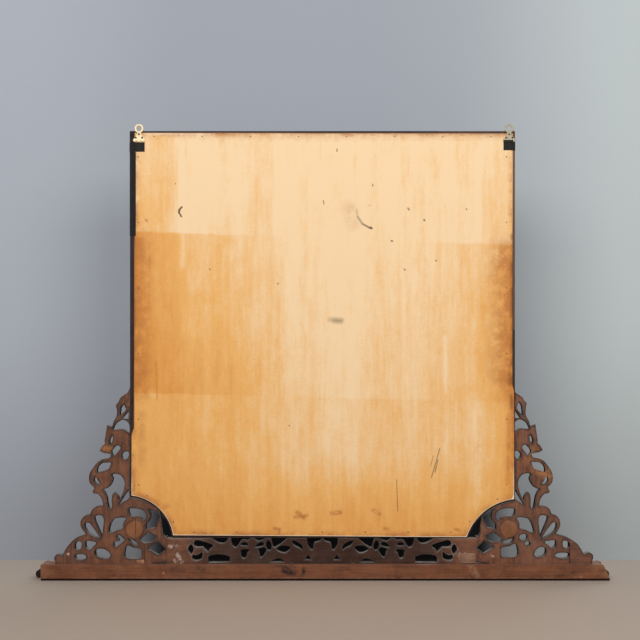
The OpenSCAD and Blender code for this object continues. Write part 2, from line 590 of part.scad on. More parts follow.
function foot_nails() = [for (i = [-3:3]) [i * (frieze_half - 70) / 3,
    foot_z + board_in + nail_in]];
function side_nails() = [for (i = [0:5]) [nail_x, foot_z + notch_r_right + 18
    + i * (frame_h - notch_r_right - 85) / 5]];
function arc_nails(left) = [for (t = left ? [112, 146] : [114, 156])
    [nx(left), nz(left)] + (nr(left) + board_in + nail_in) * [cos(t), sin(t)]];
function all_nails() = concat(top_nails(), foot_nails(), [for (left = [true, false],
    p = concat(side_nails(), arc_nails(left))) [(left ? -1 : 1) * p[0], p[1]]]);
module side_nail_holes() for (p = side_nails())
    pin_in(p[0], p[1], back_y, -1, nail_l, nail_r + fit);
module backboard_nails() color(steel) for (p = all_nails()) {
    pin_in(p[0], p[1], back_y + board_t, -0.6, 0, 1.7);
    pin_in(p[0], p[1], back_y + board_t, -0.3, nail_l, nail_r);
}

// Hangers
plate_y = back_y + board_t + plate_t;    // rear face of a hanger plate
eye_z = top_z + eye_up;
hanger_screw_at = [[0, -14.8], [8, -23.5], [-8, -23.5]];
PLATE = [[-5, -7, 1], [-6, -14], [-10, -22], [-15, -28], [-15.5, -31.5], [-12, -34],
    [-8, -33.5], [-6, -31.5, 1], [-3.5, -34], [0, -34.8], [3.5, -34], [6, -31.5, 1],
    [8, -33.5], [12, -34], [15.5, -31.5], [15, -28], [10, -22], [6, -14], [5, -7, 1]];
function eye_x(left) = side_x - (left ? eye_in_left : eye_in_right);
module screw_holes(left) for (p = hanger_screw_at)
    pin_in(eye_x(left) + p[0], eye_z + p[1], plate_y, -1, hscrew_l + 1, hscrew_r + fit);
module hanger(left) color(brass) flip(left) difference() {
    slab(plate_y, plate_t) translate([eye_x(left), eye_z]) union() {
        circle(r = eye_r + eye_rim);
        polygon(curve(PLATE));
    }
    pin_in(eye_x(left), eye_z, plate_y, -1, plate_t + 1, eye_r);
    screw_holes(left);
}
module hanger_left() hanger(true);
module hanger_right() hanger(false);
module hanger_screws(left) color(steel) flip(left) for (p = hanger_screw_at) {
    pin_in(eye_x(left) + p[0], eye_z + p[1], plate_y, -0.9, 0, 2.6);
    pin_in(eye_x(left) + p[0], eye_z + p[1], plate_y, -0.5, hscrew_l, hscrew_r);
}
module hanger_screws_left() hanger_screws(true);
module hanger_screws_right() hanger_screws(false);

// Cloth tape, drawn in plan and standing up: over the back, down the step, round the side
module tape(x0, xs, g, z0, h) translate([0, 0, z0]) linear_extrude(h)
    let (a = back_y + board_t, b = back_y + g, e = side_x + g, f = back_y - tape_wrap, t = tape_t)
    polygon(concat(x0 < xs ? [[x0, a], [xs, a]] : [[xs, b + t]], [[xs, b], [e, b], [e, f],
        [e + t, f], [e + t, b + t], [xs + t, b + t]], x0 < xs ? [[xs + t, a + t],
        [x0, a + t]] : []));
module tape_strip() color(black)
    let (x = edge_x - board_trim, z = foot_z + 0.74 * frame_h + 2) {
        tape(x + 0.5, x + 0.5, 0, z, 0.26 * frame_h - 3);
        tape(x - strip_lap, x, 0, z, eye_z - 36 - tape_h - z);
    }
module tape_patch_right() color(black) tape(edge_x - board_trim - 26, edge_x - board_trim,
    tape_t, eye_z - 35 - tape_h, tape_h);
// The left patch climbs over the foot of its hanger plate.
module tape_patch_left() color(black) flip(true) {
    z = eye_z - 35;
    tape(edge_x - 25, edge_x, 0, z + tape_lap - 2 - tape_h, tape_h - tape_lap + 2);
    tape(edge_x, edge_x, 0, z - 1, tape_lap + 1);
    translate([edge_x - 25, back_y + board_t, z - tape_t]) cube([25, plate_t + tape_t, tape_t]);
    translate([edge_x - 25, back_y + board_t + plate_t, z - tape_t])
        cube([25, tape_t, tape_lap + tape_t]);
}

base_rear_rail();
base_front_moulding();
base_return_left();
base_return_right();
base_screws();
base_dowels();
wing_left();
wing_right();
wing_end_left();
corner_scroll_left();
corner_scroll_right();
frieze();
joint_patch();
repair_cleat();
wing_dowels();
frieze_dowels();
frame_top_rail();
frame_left_stile();
frame_right_stile();
frame_bottom_rail();
frame_left_corner();
frame_right_corner();
frame_dowels();
mirror_glass();
packing_strips();
backboard();
backboard_nails();
hanger_left();
hanger_right();
hanger_screws_left();
hanger_screws_right();
tape_patch_left();
tape_patch_right();
tape_strip();
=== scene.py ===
import math
import random

import bmesh
import bpy
import numpy as np
from bpy.props import FloatProperty, FloatVectorProperty, IntProperty, PointerProperty
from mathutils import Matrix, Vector, geometry


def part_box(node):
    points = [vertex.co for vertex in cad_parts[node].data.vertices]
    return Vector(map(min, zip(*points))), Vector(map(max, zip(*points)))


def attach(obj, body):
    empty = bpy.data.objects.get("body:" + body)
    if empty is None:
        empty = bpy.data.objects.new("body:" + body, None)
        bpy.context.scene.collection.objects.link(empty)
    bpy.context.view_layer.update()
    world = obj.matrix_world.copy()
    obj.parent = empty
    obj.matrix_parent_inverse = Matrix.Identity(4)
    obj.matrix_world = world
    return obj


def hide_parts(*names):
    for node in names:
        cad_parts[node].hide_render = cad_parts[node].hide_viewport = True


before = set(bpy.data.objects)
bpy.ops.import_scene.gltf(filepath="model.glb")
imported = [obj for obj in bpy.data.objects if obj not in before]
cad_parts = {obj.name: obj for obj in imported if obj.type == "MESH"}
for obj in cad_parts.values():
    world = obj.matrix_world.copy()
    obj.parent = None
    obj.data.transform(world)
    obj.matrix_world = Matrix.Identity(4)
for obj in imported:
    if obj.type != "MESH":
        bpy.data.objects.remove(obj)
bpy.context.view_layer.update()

bl_info = {
    "name": "Floor mirror",
    "version": (1, 0, 0),
    "blender": (4, 5, 0),
    "location": "3D View > Sidebar > Mirror",
    "description": "Dresses a floor mirror with carved boards, a moulded frame and an old backboard",
    "category": "Add Mesh",
}

MM = 0.001
SIDES = (-1, 1)                      # -1 is the mirror's left, 1 its right
BACKWARDS = (0, 1, 0)
UPWARDS = (0, 0, 1)


# Places, in millimetres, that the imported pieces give.

def box_mm(node):
    """Lowest and highest corner of a CAD node in millimetres."""
    low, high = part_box(node)
    return low / MM, high / MM


RAIL_LOW, RAIL_HIGH = box_mm("base_rear_rail")
MOULD_LOW, MOULD_HIGH = box_mm("base_front_moulding")
FRET_LOW, FRET_HIGH = box_mm("corner_scroll_right")
HALF_W = MOULD_HIGH.x                # half the base over its bottom bead
BASE_H = RAIL_HIGH.z
REAR_Y = RAIL_HIGH.y                 # back of the base
RAIL_Y = RAIL_LOW.y                  # front of the rail
BACK_Y = FRET_HIGH.y                 # back of the frame and of the carved boards
FRET_Y = FRET_LOW.y                  # front of the carved boards
SIDE_X = box_mm("frame_right_stile")[1].x
FOOT_Z = box_mm("frame_bottom_rail")[0].z
TOP_Z = box_mm("frame_top_rail")[1].z
PLATE_Y = box_mm("hanger_left")[1].y
BOARD_Y = box_mm("backboard")[1].y
FACE_W = TOP_Z - box_mm("frame_top_rail")[0].z
FRAME_T = BACK_Y - box_mm("frame_top_rail")[0].y

# Sizes of the source that no box gives, in millimetres.
# Concave lower corners: radius, and how far the centre lies outside and below the frame.
NOTCH = {1: (118.0, 10.0, 13.0), -1: (140.0, 12.5, 44.5)}
REBATE_W, REBATE_D = 8.0, 20.0
MOULD_OUT = 22.0
BEAD_R = 10.5
LIP_H = 5.0
RAIL_CHAMFER = 3.5
RAIL_END_SLANT = 17.0                # how far the rail's left end runs in towards its top
RAIL_END_FOOT = 10.0                 # height at which that slant starts
BOSS_H = 4.0                         # height of the carved rosettes over the boards
MOULD_GAP = 0.08                     # keeps the returns from touching the rail
# The side boards differ a little: places on the right one, and where they lie on the left one.
LEFT_PLACES = ((-94, -11, 0, 14, 50, 84, 105, 127, 141, 156, 174, 194),
               (-100, -16, -4, 8, 47, 76, 97, 116, 139, 158, 176, 201))


# Settings

class MirrorWoods(bpy.types.PropertyGroup):
    """Colours of the woods."""
    carved_light: FloatVectorProperty(name="Carved light", description="Rubbed faces of the carving",
                                      subtype="COLOR", size=3, default=(0.27, 0.105, 0.054))
    carved_dark: FloatVectorProperty(name="Carved dark", description="Old stain in the carving",
                                     subtype="COLOR", size=3, default=(0.088, 0.037, 0.023))
    # The rims darken the carved boards near their edges: grime, and painted shade that makes the stems
    # look rounded.
    rim: FloatVectorProperty(name="Rims", description="Grimy rims of the carved boards",
                             subtype="COLOR", size=3, default=(0.026, 0.019, 0.016))
    hollow: FloatVectorProperty(name="Hollows", description="Sawn walls of the piercings",
                                subtype="COLOR", size=3, default=(0.009, 0.005, 0.004))
    base_light: FloatVectorProperty(name="Base light", description="Rubbed wood of the base",
                                    subtype="COLOR", size=3, default=(0.25, 0.096, 0.045))
    base_dark: FloatVectorProperty(name="Base dark", description="Stained wood of the base",
                                   subtype="COLOR", size=3, default=(0.12, 0.044, 0.025))
    frame_light: FloatVectorProperty(name="Frame light", description="Worn wood of the frame",
                                     subtype="COLOR", size=3, default=(0.042, 0.022, 0.017))
    frame_dark: FloatVectorProperty(name="Frame dark", description="Varnished wood of the frame",
                                    subtype="COLOR", size=3, default=(0.014, 0.008, 0.006))
    deal: FloatVectorProperty(name="Deal", description="Bare wood of dowels, strips and blocks",
                              subtype="COLOR", size=3, default=(0.52, 0.33, 0.17))
    dust: FloatVectorProperty(name="Dust", description="Dust that lies on upward faces",
                              subtype="COLOR", size=3, default=(0.30, 0.265, 0.24))


class MirrorBoard(bpy.types.PropertyGroup):
    """Colours of the backboard."""
    pale: FloatVectorProperty(name="Pale", description="Bleached wood in the middle",
                              subtype="COLOR", size=3, default=(0.95, 0.69, 0.405))
    honey: FloatVectorProperty(name="Honey", description="Wood towards the sides",
                               subtype="COLOR", size=3, default=(0.88, 0.47, 0.145))
    toasted: FloatVectorProperty(name="Toasted", description="Darkened band at mid height",
                                 subtype="COLOR", size=3, default=(0.76, 0.325, 0.068))
    grime: FloatVectorProperty(name="Grime", description="Dirt in scratches and nail holes",
                               subtype="COLOR", size=3, default=(0.09, 0.04, 0.02))
    stain: FloatVectorProperty(name="Stain", description="Brown stain along the edges",
                               subtype="COLOR", size=3, default=(0.47, 0.155, 0.035))
    # Cream is pale, rubbed wood at the edges along the foot, with a painted highlight where these edges
    # catch the light.
    cream: FloatVectorProperty(name="Cream", description="Rubbed edges along the foot",
                               subtype="COLOR", size=3, default=(0.98, 0.85, 0.66))


class MirrorCarving(bpy.types.PropertyGroup):
    """Sizes of the carving."""
    step: FloatProperty(name="Step", description="Spacing of the points on carved faces",
                        default=2.8 * MM, min=1 * MM, max=8 * MM, unit="LENGTH")
    stem_drop: FloatProperty(name="Stem drop", description="How far a stem rounds off at its edge",
                             default=5.5 * MM, min=1 * MM, max=8 * MM, unit="LENGTH")
    stem_round: FloatProperty(name="Stem rounding", description="How far in that rounding reaches",
                              default=9 * MM, min=2 * MM, max=15 * MM, unit="LENGTH")
    back_ease: FloatProperty(name="Back easing", description="Worn edge on the back of the boards",
                             default=0.9 * MM, min=0.2 * MM, max=2 * MM, unit="LENGTH")
    petals: IntProperty(name="Petals", description="Petals of a rosette", default=8, min=5, max=12)


class MirrorStage(bpy.types.PropertyGroup):
    """Camera, light and floor."""
    distance: FloatProperty(name="Distance", description="From the camera to the back of the board",
                            default=2.9, min=1, max=8, unit="LENGTH")
    eye_height: FloatProperty(name="Eye height", description="Height of the camera over the floor",
                              default=0.459, min=0.1, max=2, unit="LENGTH")
    floor: FloatVectorProperty(name="Floor", description="Colour of the floor", subtype="COLOR",
                               size=3, default=(0.39, 0.32, 0.265))
    backdrop: FloatVectorProperty(name="Backdrop", description="Colour behind the mirror",
                                  subtype="COLOR", size=3, default=(0.42, 0.45, 0.50))
    backdrop_y: FloatProperty(name="Backdrop place", description="Where the backdrop meets the floor",
                              default=-0.326, min=-3, max=-0.1, unit="LENGTH")
    key: FloatProperty(name="Key light", description="Strength of the main lamp", default=50, min=0)
    fill: FloatProperty(name="Fill light", description="Strength of the lamp on the other side",
                        default=41, min=0)
    front: FloatProperty(name="Front light", description="Strength of the lamp before the glass",
                         default=32, min=0)
    sky: FloatProperty(name="Sky", description="Strength of the even light from all round",
                       default=0.4, min=0, max=2)


class MirrorSettings(bpy.types.PropertyGroup):
    """All settings of the mirror."""
    woods: PointerProperty(type=MirrorWoods)
    board: PointerProperty(type=MirrorBoard)
    carving: PointerProperty(type=MirrorCarving)
    stage: PointerProperty(type=MirrorStage)


def settings():
    return bpy.context.scene.floor_mirror


# Shader node helpers

def rgba(colour):
    return (colour[0], colour[1], colour[2], 1.0)


class Wiring:
    """Adds nodes to a tree and links them, one call to a node."""

    def __init__(self, tree):
        self.tree = tree

    def put(self, socket, value):
        if isinstance(value, bpy.types.NodeSocket):
            self.tree.links.new(value, socket)
        elif value is not None:
            socket.default_value = value

    def fill(self, node, **inputs):
        """Sets or links a node's sockets by name, with _ for a space."""
        for name, value in inputs.items():
            self.put(node.inputs[name.replace("_", " ")], value)
        return node

    def fill_first(self, node, values):
        """Sets or links a node's first sockets in order."""
        for socket, value in zip(node.inputs, values):
            self.put(socket, value)
        return node.outputs[0]

    def node(self, kind, **inputs):
        return self.fill(self.tree.nodes.new(kind), **inputs)

    def math(self, operation, a, b=None, c=None, clamp=False):
        made = self.node("ShaderNodeMath")
        made.operation = operation
        made.use_clamp = clamp
        return self.fill_first(made, (a, b, c))

    def fold(self, operation, values):
        made, *others = values
        for value in others:
            made = self.math(operation, made, value)
        return made

    def times(self, *values):
        return self.fold("MULTIPLY", values)

    def plus(self, *values):
        return self.fold("ADD", values)

    def largest(self, *values):
        return self.fold("MAXIMUM", values)

    def minus(self, a, b):
        return self.math("SUBTRACT", a, b)

    def scaled(self, value, factor, offset, clamp=False):
        return self.math("MULTIPLY_ADD", value, factor, offset, clamp)

    def fade(self, factor, a, b):
        """A number between a and b."""
        return self.math("MULTIPLY_ADD", factor, self.minus(b, a), a)

    def vector(self, operation, a, b=None):
        made = self.node("ShaderNodeVectorMath")
        made.operation = operation
        self.fill_first(made, (a, b))
        number = operation in ("DISTANCE", "LENGTH", "DOT_PRODUCT")
        return made.outputs["Value" if number else "Vector"]

    def stretched(self, vector, factor):
        made = self.vector("SCALE", vector)
        self.put(made.node.inputs["Scale"], factor)
        return made

    def ramp(self, value, low, high, start=0.0, end=1.0):
        """Smooth step of value from low to high."""
        made = self.node("ShaderNodeMapRange")
        made.interpolation_type = "SMOOTHSTEP"
        return self.fill_first(made, (value, low, high, start, end))

    def blend(self, factor, a, b, mode="MIX"):
        """Two colours mixed; each is a socket, or red, green and blue."""
        made = self.node("ShaderNodeMix")
        made.data_type = "RGBA"
        made.blend_type = mode
        self.put(made.inputs["Factor"], factor)
        colour_sockets = [s for s in made.inputs if s.type == "RGBA"]
        for socket, colour in zip(colour_sockets, (a, b)):
            self.put(socket, colour if isinstance(colour, bpy.types.NodeSocket) else rgba(colour))
        return next(s for s in made.outputs if s.type == "RGBA")

    def noise(self, vector, scale, detail=3.0, roughness=0.55, distortion=0.0):
        made = self.node("ShaderNodeTexNoise", Vector=vector, Scale=scale, Detail=detail,
                         Roughness=roughness, Distortion=distortion)
        return made.outputs["Fac"]

    def group(self, name, **inputs):
        made = self.tree.nodes.new("ShaderNodeGroup")
        made.node_tree = bpy.data.node_groups[name]
        return self.fill(made, **inputs).outputs

    def place(self):
        """Place on the object, in metres."""
        return self.node("ShaderNodeTexCoord").outputs["Object"]

    def parts(self, vector):
        return self.node("ShaderNodeSeparateXYZ", Vector=vector).outputs

    def attribute(self, name):
        made = self.node("ShaderNodeAttribute")
        made.attribute_name = name
        return made.outputs["Fac"]

    def facing(self, direction, low, high, start=0.0, end=1.0):
        """How far the surface faces a direction."""
        normal = self.node("ShaderNodeNewGeometry").outputs["Normal"]
        return self.ramp(self.vector("DOT_PRODUCT", normal, direction), low, high, start, end)

    def blotch(self, place, scale, low, high):
        return self.group("mirror_blotch", Vector=place, Scale=scale, Low=low, High=high)[0]

    def rubbed(self, place, amount):
        return self.group("mirror_wear", Vector=place, Edge=self.attribute("wear"), Amount=amount)[0]

    def marks(self, place, marks, broken=0.0):
        """Marks on the faces that look backwards; broken is the scale of the gaps in them."""
        covers = []
        for x, z, x2, z2, radius, soft, strength in marks:
            mark = self.group("mirror_mark", Vector=place, Start=(x * MM, 0, z * MM),
                              End=(x2 * MM, 0, z2 * MM), Radius=radius * MM, Soft=soft * MM)
            covers.append(self.times(mark[0], strength))
        backwards = self.facing(BACKWARDS, 0.3, 0.7)
        if broken:
            gaps = self.ramp(self.noise(place, broken, 4.0, 0.7), 0.4, 0.6)
            backwards = self.times(backwards, gaps)
        return self.times(self.largest(*covers), backwards)

    def bump(self, shader, strength, distance, height):
        made = self.node("ShaderNodeBump", Strength=strength, Distance=distance, Height=height)
        self.fill(shader, Normal=made.outputs["Normal"])

    def show_mix(self, factor, first, second, output="Material Output"):
        """Sends a mix of two shaders to the output."""
        mixed = self.fill_first(self.node("ShaderNodeMixShader"),
                                (factor, first.outputs[0], second.outputs[0]))
        self.fill(self.tree.nodes[output], Surface=mixed)


# Shader groups

def start_group(name, inputs, *outputs):
    """A node group that starts from a place and puts out numbers; inputs are names and defaults."""
    tree = bpy.data.node_groups.new(name, "ShaderNodeTree")
    for label, default in {"Vector": (0, 0, 0), **inputs}.items():
        kind = "NodeSocketVector" if isinstance(default, tuple) else "NodeSocketFloat"
        socket = tree.interface.new_socket(name=label, in_out="INPUT", socket_type=kind)
        socket.default_value = default
    for label in outputs:
        tree.interface.new_socket(name=label, in_out="OUTPUT", socket_type="NodeSocketFloat")
    wires = Wiring(tree)
    return wires, wires.node("NodeGroupInput").outputs, wires.node("NodeGroupOutput").inputs


def make_grain_group():
    """Wood grain: long streaks, fine pores and the height that both give."""
    w, given, out = start_group("mirror_grain", {"Frequency": (6, 160, 160), "Wander": 0.6},
                                "Streaks", "Pores", "Height")
    drift = w.node("ShaderNodeTexNoise", Vector=given["Vector"], Scale=4.0, Detail=2.0)
    wander = w.stretched(drift.outputs["Color"], w.times(given["Wander"], 0.01))
    spot = w.vector("MULTIPLY", w.vector("ADD", given["Vector"], wander), given["Frequency"])
    streaks = w.noise(spot, 1.0, 5.0, 0.62, 0.3)
    pores = w.ramp(w.noise(w.vector("MULTIPLY", spot, (2.2, 4.0, 4.0)), 1.0, 3.0, 0.7), 0.56, 0.7)
    w.put(out["Streaks"], w.ramp(streaks, 0.3, 0.72))
    w.put(out["Pores"], pores)
    w.put(out["Height"], w.minus(w.times(streaks, 0.5), pores))


def make_blotch_group():
    """Cloudy patches from 0 to 1."""
    w, given, out = start_group("mirror_blotch", {"Scale": 12.0, "Low": 0.4, "High": 0.65}, "Mask")
    cloud = w.noise(given["Vector"], given["Scale"], 5.0, 0.6, 0.8)
    w.put(out["Mask"], w.ramp(cloud, given["Low"], given["High"]))


def make_wear_group():
    """Rubbed edges: the painted edge value, broken up by noise."""
    w, given, out = start_group("mirror_wear", {"Edge": 0.0, "Amount": 0.6}, "Mask")
    broken = w.ramp(w.noise(given["Vector"], 55.0, 4.0, 0.65), 0.34, 0.62)
    edge = w.times(given["Edge"], given["Amount"])
    w.put(out["Mask"], w.math("MULTIPLY", edge, broken, clamp=True))


def make_dust_group():
    """Dust where a face looks up, thicker in patches, and a thin film everywhere."""
    w, given, out = start_group("mirror_dust", {"Amount": 0.5, "Everywhere": 0.05}, "Mask")
    patch = w.ramp(w.noise(given["Vector"], 38.0, 4.0, 0.6), 0.3, 0.65)
    haze = w.ramp(w.noise(given["Vector"], 14.0, 5.0, 0.7), 0.4, 0.75)
    settled = w.times(w.facing(UPWARDS, 0.15, 0.9), given["Amount"], w.scaled(patch, 0.6, 0.4))
    w.put(out["Mask"], w.math("ADD", settled, w.times(given["Everywhere"], haze), clamp=True))


def make_mark_group():
    """A stroke on the board between two points in X and Z, with a soft edge."""
    w, given, out = start_group("mirror_mark", {"Start": (0, 0, 0), "End": (0, 0, 1),
                                                "Radius": 0.002, "Soft": 0.001}, "Mask")
    flat = w.vector("MULTIPLY", given["Vector"], (1, 0, 1))
    line = w.vector("SUBTRACT", given["End"], given["Start"])
    from_start = w.vector("SUBTRACT", flat, given["Start"])
    along = w.math("DIVIDE", w.vector("DOT_PRODUCT", from_start, line),
                   w.vector("DOT_PRODUCT", line, line), clamp=True)
    gap = w.vector("DISTANCE", from_start, w.stretched(line, along))
    outer = w.plus(given["Radius"], given["Soft"])
    w.put(out["Mask"], w.ramp(gap, given["Radius"], outer, 1.0, 0.0))


def make_groups():
    for make in (make_grain_group, make_blotch_group, make_wear_group, make_dust_group,
                 make_mark_group):
        make()


# Materials

def tinted(colour, factor):
    return [c * factor for c in colour]


def start_material(name):
    """A new material, its wiring, its Principled shader and the place on the object."""
    material = bpy.data.materials.new(name)
    material.use_nodes = True
    wires = Wiring(material.node_tree)
    return material, wires, material.node_tree.nodes["Principled BSDF"], wires.place()


GRAIN_ALONG = {"x": (7.0, 190.0, 190.0), "z": (190.0, 190.0, 7.0)}
RIM_W = 6.5                          # millimetres that the dark rim, grime and painted shade, reaches in from an edge


def wood(name, dark, light, along, roughness=0.5, dust=0.4, film=0.05, wear=0.5, coat=0.0,
         back_coat=1.0, worn=None, gloss=0.3, rim=None, rim_w=RIM_W, shade=None, marks=(),
         patches=9.0):
    """Old stained wood with grain, patches, rubbed edges, marks and dust.

    rim is the colour of a border near the edges: grime and painted shade on the carved boards,
    paler dust on the frieze; shade darkens towards the middle along an axis, a painted shadow
    at the foot of the base, and gives the axis, two distances from the middle in millimetres
    and an amount; marks are tints with their marks and the scale of the gaps.
    """
    if name in bpy.data.materials:
        return bpy.data.materials[name]
    material, w, shader, place = start_material(name)
    grain = w.group("mirror_grain", Vector=place, Frequency=GRAIN_ALONG[along])
    fine = w.blotch(place, 5 * patches, 0.35, 0.7)
    cloud = w.times(w.blotch(place, patches, 0.36, 0.66), 0.4)
    tone = w.math("ADD", w.times(grain["Streaks"], 0.45), w.plus(cloud, w.times(fine, 0.2)),
                  clamp=True)
    colour = w.blend(tone, dark, light)
    colour = w.blend(w.times(grain["Pores"], 0.55), colour, tinted(dark, 0.4))
    # Darker near the edges: grime and painted shade; the frieze has a paler, dusty rim instead.
    if rim:
        near = w.minus(w.attribute("edge"), w.scaled(fine, 3 * MM, -1.5 * MM))
        colour = w.blend(w.ramp(near, 0.4 * MM, rim_w * MM, 0.9, 0.0), colour, rim)
    worn_colour = worn or [min(1.0, c * 1.7 + 0.01) for c in light]
    colour = w.blend(w.rubbed(place, wear), colour, worn_colour)
    # Darker towards the middle along an axis; on the base this is a painted shadow along its foot.
    if shade:
        axis, low, high, amount = shade
        away = w.math("ABSOLUTE", w.parts(place)[axis])
        colour = w.blend(w.ramp(away, low * MM, high * MM, amount, 0.0), colour, tinted(dark, 0.12))
    for tint, strokes, broken in marks:
        colour = w.blend(w.marks(place, strokes, broken), colour, tint)
    dusty = w.group("mirror_dust", Vector=place, Amount=dust, Everywhere=film)[0]
    colour = w.blend(dusty, colour, settings().woods.dust)
    rough = w.math("ADD", w.times(fine, 0.12), w.scaled(dusty, 0.35, roughness), clamp=True)
    varnish = w.facing(BACKWARDS, 0.3, 0.9, coat, coat * back_coat) if coat else 0.0
    w.fill(shader, Base_Color=colour, Roughness=rough, Specular_IOR_Level=gloss,
           Coat_Weight=varnish, Coat_Roughness=0.25)
    w.bump(shader, 0.35, 0.6 * MM, grain["Height"])
    return material


# Marks on the carved boards, the rail and the frame, in millimetres: X and Z of both ends,
# radius, width of the soft edge, and strength.
PALE_MARKS = ((390, 86, 386, 84, 1.5, 5, 0.75), (376, 88, 372, 86, 1, 4, 0.8),
              (370, 64, 360, 46, 1, 7, 0.75), (378, 50, 372, 44, 1, 5, 0.6),
              (651, 65, 649, 66, 2, 1.5, 1.0), (-350, 64, -356, 46, 1, 7, 0.6),
              (-364, 66, -360, 44, 1, 5, 0.5), (-432, 62, -436, 60, 1, 3, 0.5))
DISCS = ((480.5, 128.5, 480.5, 128.4, 18, 7, 0.5), (-476, 129.2, -476, 129.1, 18, 7, 0.4))
# DISC_RINGS darken a band round each big disc, over its groove: painted shade.
DISC_RINGS = ((480.5, 128.5, 480.5, 128.4, 23.5, 2.8, 1.0),
              (-476, 129.2, -476, 129.1, 23.5, 2.8, 1.0))
DARK_MARKS = ((454, 89, 454, 43, 0.4, 1.0, 0.8), (456, 204, 456, 191, 0.3, 1.0, 0.7),
              (477.5, 156, 477.5, 118, 0.4, 1.0, 0.8), (477.5, 205, 477.5, 45, 0.2, 0.9, 0.35),
              (398, 104, 398, 44, 0.2, 0.9, 0.4), (-398, 104, -398, 44, 0.2, 0.9, 0.4),
              (-453.5, 90, -453.5, 43, 0.3, 0.9, 0.7), (-631, 92, -631, 43, 0.6, 1.6, 0.85))
GRIMY_MARKS = ((390, 48, 430, 47, 2, 9, 0.8), (-400, 50, -445, 48, 3, 9, 0.7),
               (500, 200, 440, 203, 2, 9, 0.5), (330, 48, 230, 47, 1, 7, 0.4))
RAIL_SMUDGES = ((112, 31, 56, 25, 7, 12, 1.0), (84, 34, 62, 18, 6, 9, 0.9),
                (-45, 30, -95, 27, 2, 9, 0.5), (-634, 20, -636, 20, 2, 3.5, 0.9),
                (-590, 12, -625, 14, 1, 6, 0.5), (700, 41, 560, 42, 0.3, 2.2, 0.5),
                (380, 30, 300, 28, 3, 9, 0.4), (-200, 12, -160, 10, 1, 6, 0.4))
# Pale marks on the rail; the last, a thin pale line along the rail 7.5 mm up, is a painted highlight on
# its lower arris.
RAIL_PALE_AND_HIGHLIGHT = ((-640, 10, -657, 10, 1.4, 3, 0.6), (-376, 38, -392, 14, 3, 9, 0.3),
             (402, 22, 404, 20, 1.0, 2, 0.7), (640, 7.5, -600, 7.5, 0.2, 1.2, 0.35))
# Darker at the rear ends of the returns.
DARK_RETURN_ENDS = ((731, 0, 731, 44, 12, 4, 0.9), (-731, 0, -731, 44, 12, 4, 0.5))
ORANGE_MARKS = ((-545, 288, -578, 268, 6, 16, 0.6), (505, 470, 492, 455, 4, 12, 0.5),
                (556, 335, 538, 332, 3, 10, 0.5), (-520, 300, -530, 330, 3, 12, 0.4))
SIDE_RUB = ((-489, 1130, -489, 640, 1.5, 2.5, 0.7), (-300, 1145, -488, 1145, 0.5, 2.0, 0.6))


def carved_wood(along, name=None, shade=None, rim=None, rim_w=RIM_W):
    woods = settings().woods
    return wood(name or "carved_wood_" + along, woods.carved_dark, woods.carved_light, along, 0.6,
                dust=0.7, film=0.08, wear=0.3, coat=0.1, back_coat=0.1, worn=(0.33, 0.25, 0.2),
                gloss=0.2, rim=rim or woods.rim, rim_w=rim_w, shade=shade, patches=20.0,
                marks=((tinted(woods.carved_dark, 0.6), DISC_RINGS, 30.0),
                       ((0.40, 0.155, 0.055), DISCS, 0.0),
                       ((0.48, 0.20, 0.065), ORANGE_MARKS, 40.0),
                       (woods.carved_dark, GRIMY_MARKS, 60.0), (woods.hollow, DARK_MARKS, 0.0),
                       ((0.66, 0.53, 0.44), PALE_MARKS, 170.0)))


def frieze_wood():
    """Carved wood, darker towards the middle, with a thinner, dusty rim that makes it greyer."""
    return carved_wood("x", "frieze_wood", ("X", 250, 370, 0.75), (0.21, 0.17, 0.145), 4.0)


def hollow_wood():
    """Near-black wood on the walls of the piercings, dusty where it looks up."""
    hollow = settings().woods.hollow
    return wood("hollow_wood", hollow, tinted(hollow, 1.6), "x", 0.9, dust=0.95, film=0.0,
                wear=0.0, gloss=0.02)


def base_wood(name, marks=(), tone=0.6):
    woods = settings().woods
    # The shade darkens the lowest 4.6 to 7 mm of the base nearly to black: a painted shadow line under
    # it.
    return wood(name, tinted(woods.base_dark, tone), tinted(woods.base_light, tone), "x", 0.6,
                dust=0.1, film=0.02, wear=0.45, coat=0.12, back_coat=0.0, worn=(0.34, 0.17, 0.09),
                gloss=0.1, shade=("Z", 4.6, 7.0, 0.98), marks=marks, patches=14.0)


def moulding_wood():
    return base_wood("base_wood")


def rail_wood():
    return base_wood("rail_wood", (((0.022, 0.016, 0.017), RAIL_SMUDGES, 24.0),
                                   ((0.50, 0.33, 0.22), RAIL_PALE_AND_HIGHLIGHT, 90.0)), 1.0)


def return_wood():
    return base_wood("return_wood", (((0.02, 0.017, 0.016), DARK_RETURN_ENDS, 0.0),))


def frame_wood(along):
    woods = settings().woods
    return wood("frame_wood_" + along, woods.frame_dark, woods.frame_light, along, 0.42,
                dust=0.3, film=0.01, wear=0.3, coat=0.35, back_coat=0.1, gloss=0.2,
                marks=(((0.16, 0.085, 0.055), SIDE_RUB, 0.0),))


def deal_wood():
    deal = settings().woods.deal
    return wood("deal", tinted(deal, 0.6), deal, "z", 0.7, dust=0.2, film=0.02, wear=0.1)


def cleat_wood():
    return wood("cleat_wood", (0.13, 0.06, 0.035), (0.33, 0.18, 0.105), "x", 0.6, dust=0.3,
                film=0.2, wear=0.4)


def patch_wood():
    return wood("patch_wood", settings().woods.base_dark, (0.42, 0.20, 0.11), "x", 0.55)


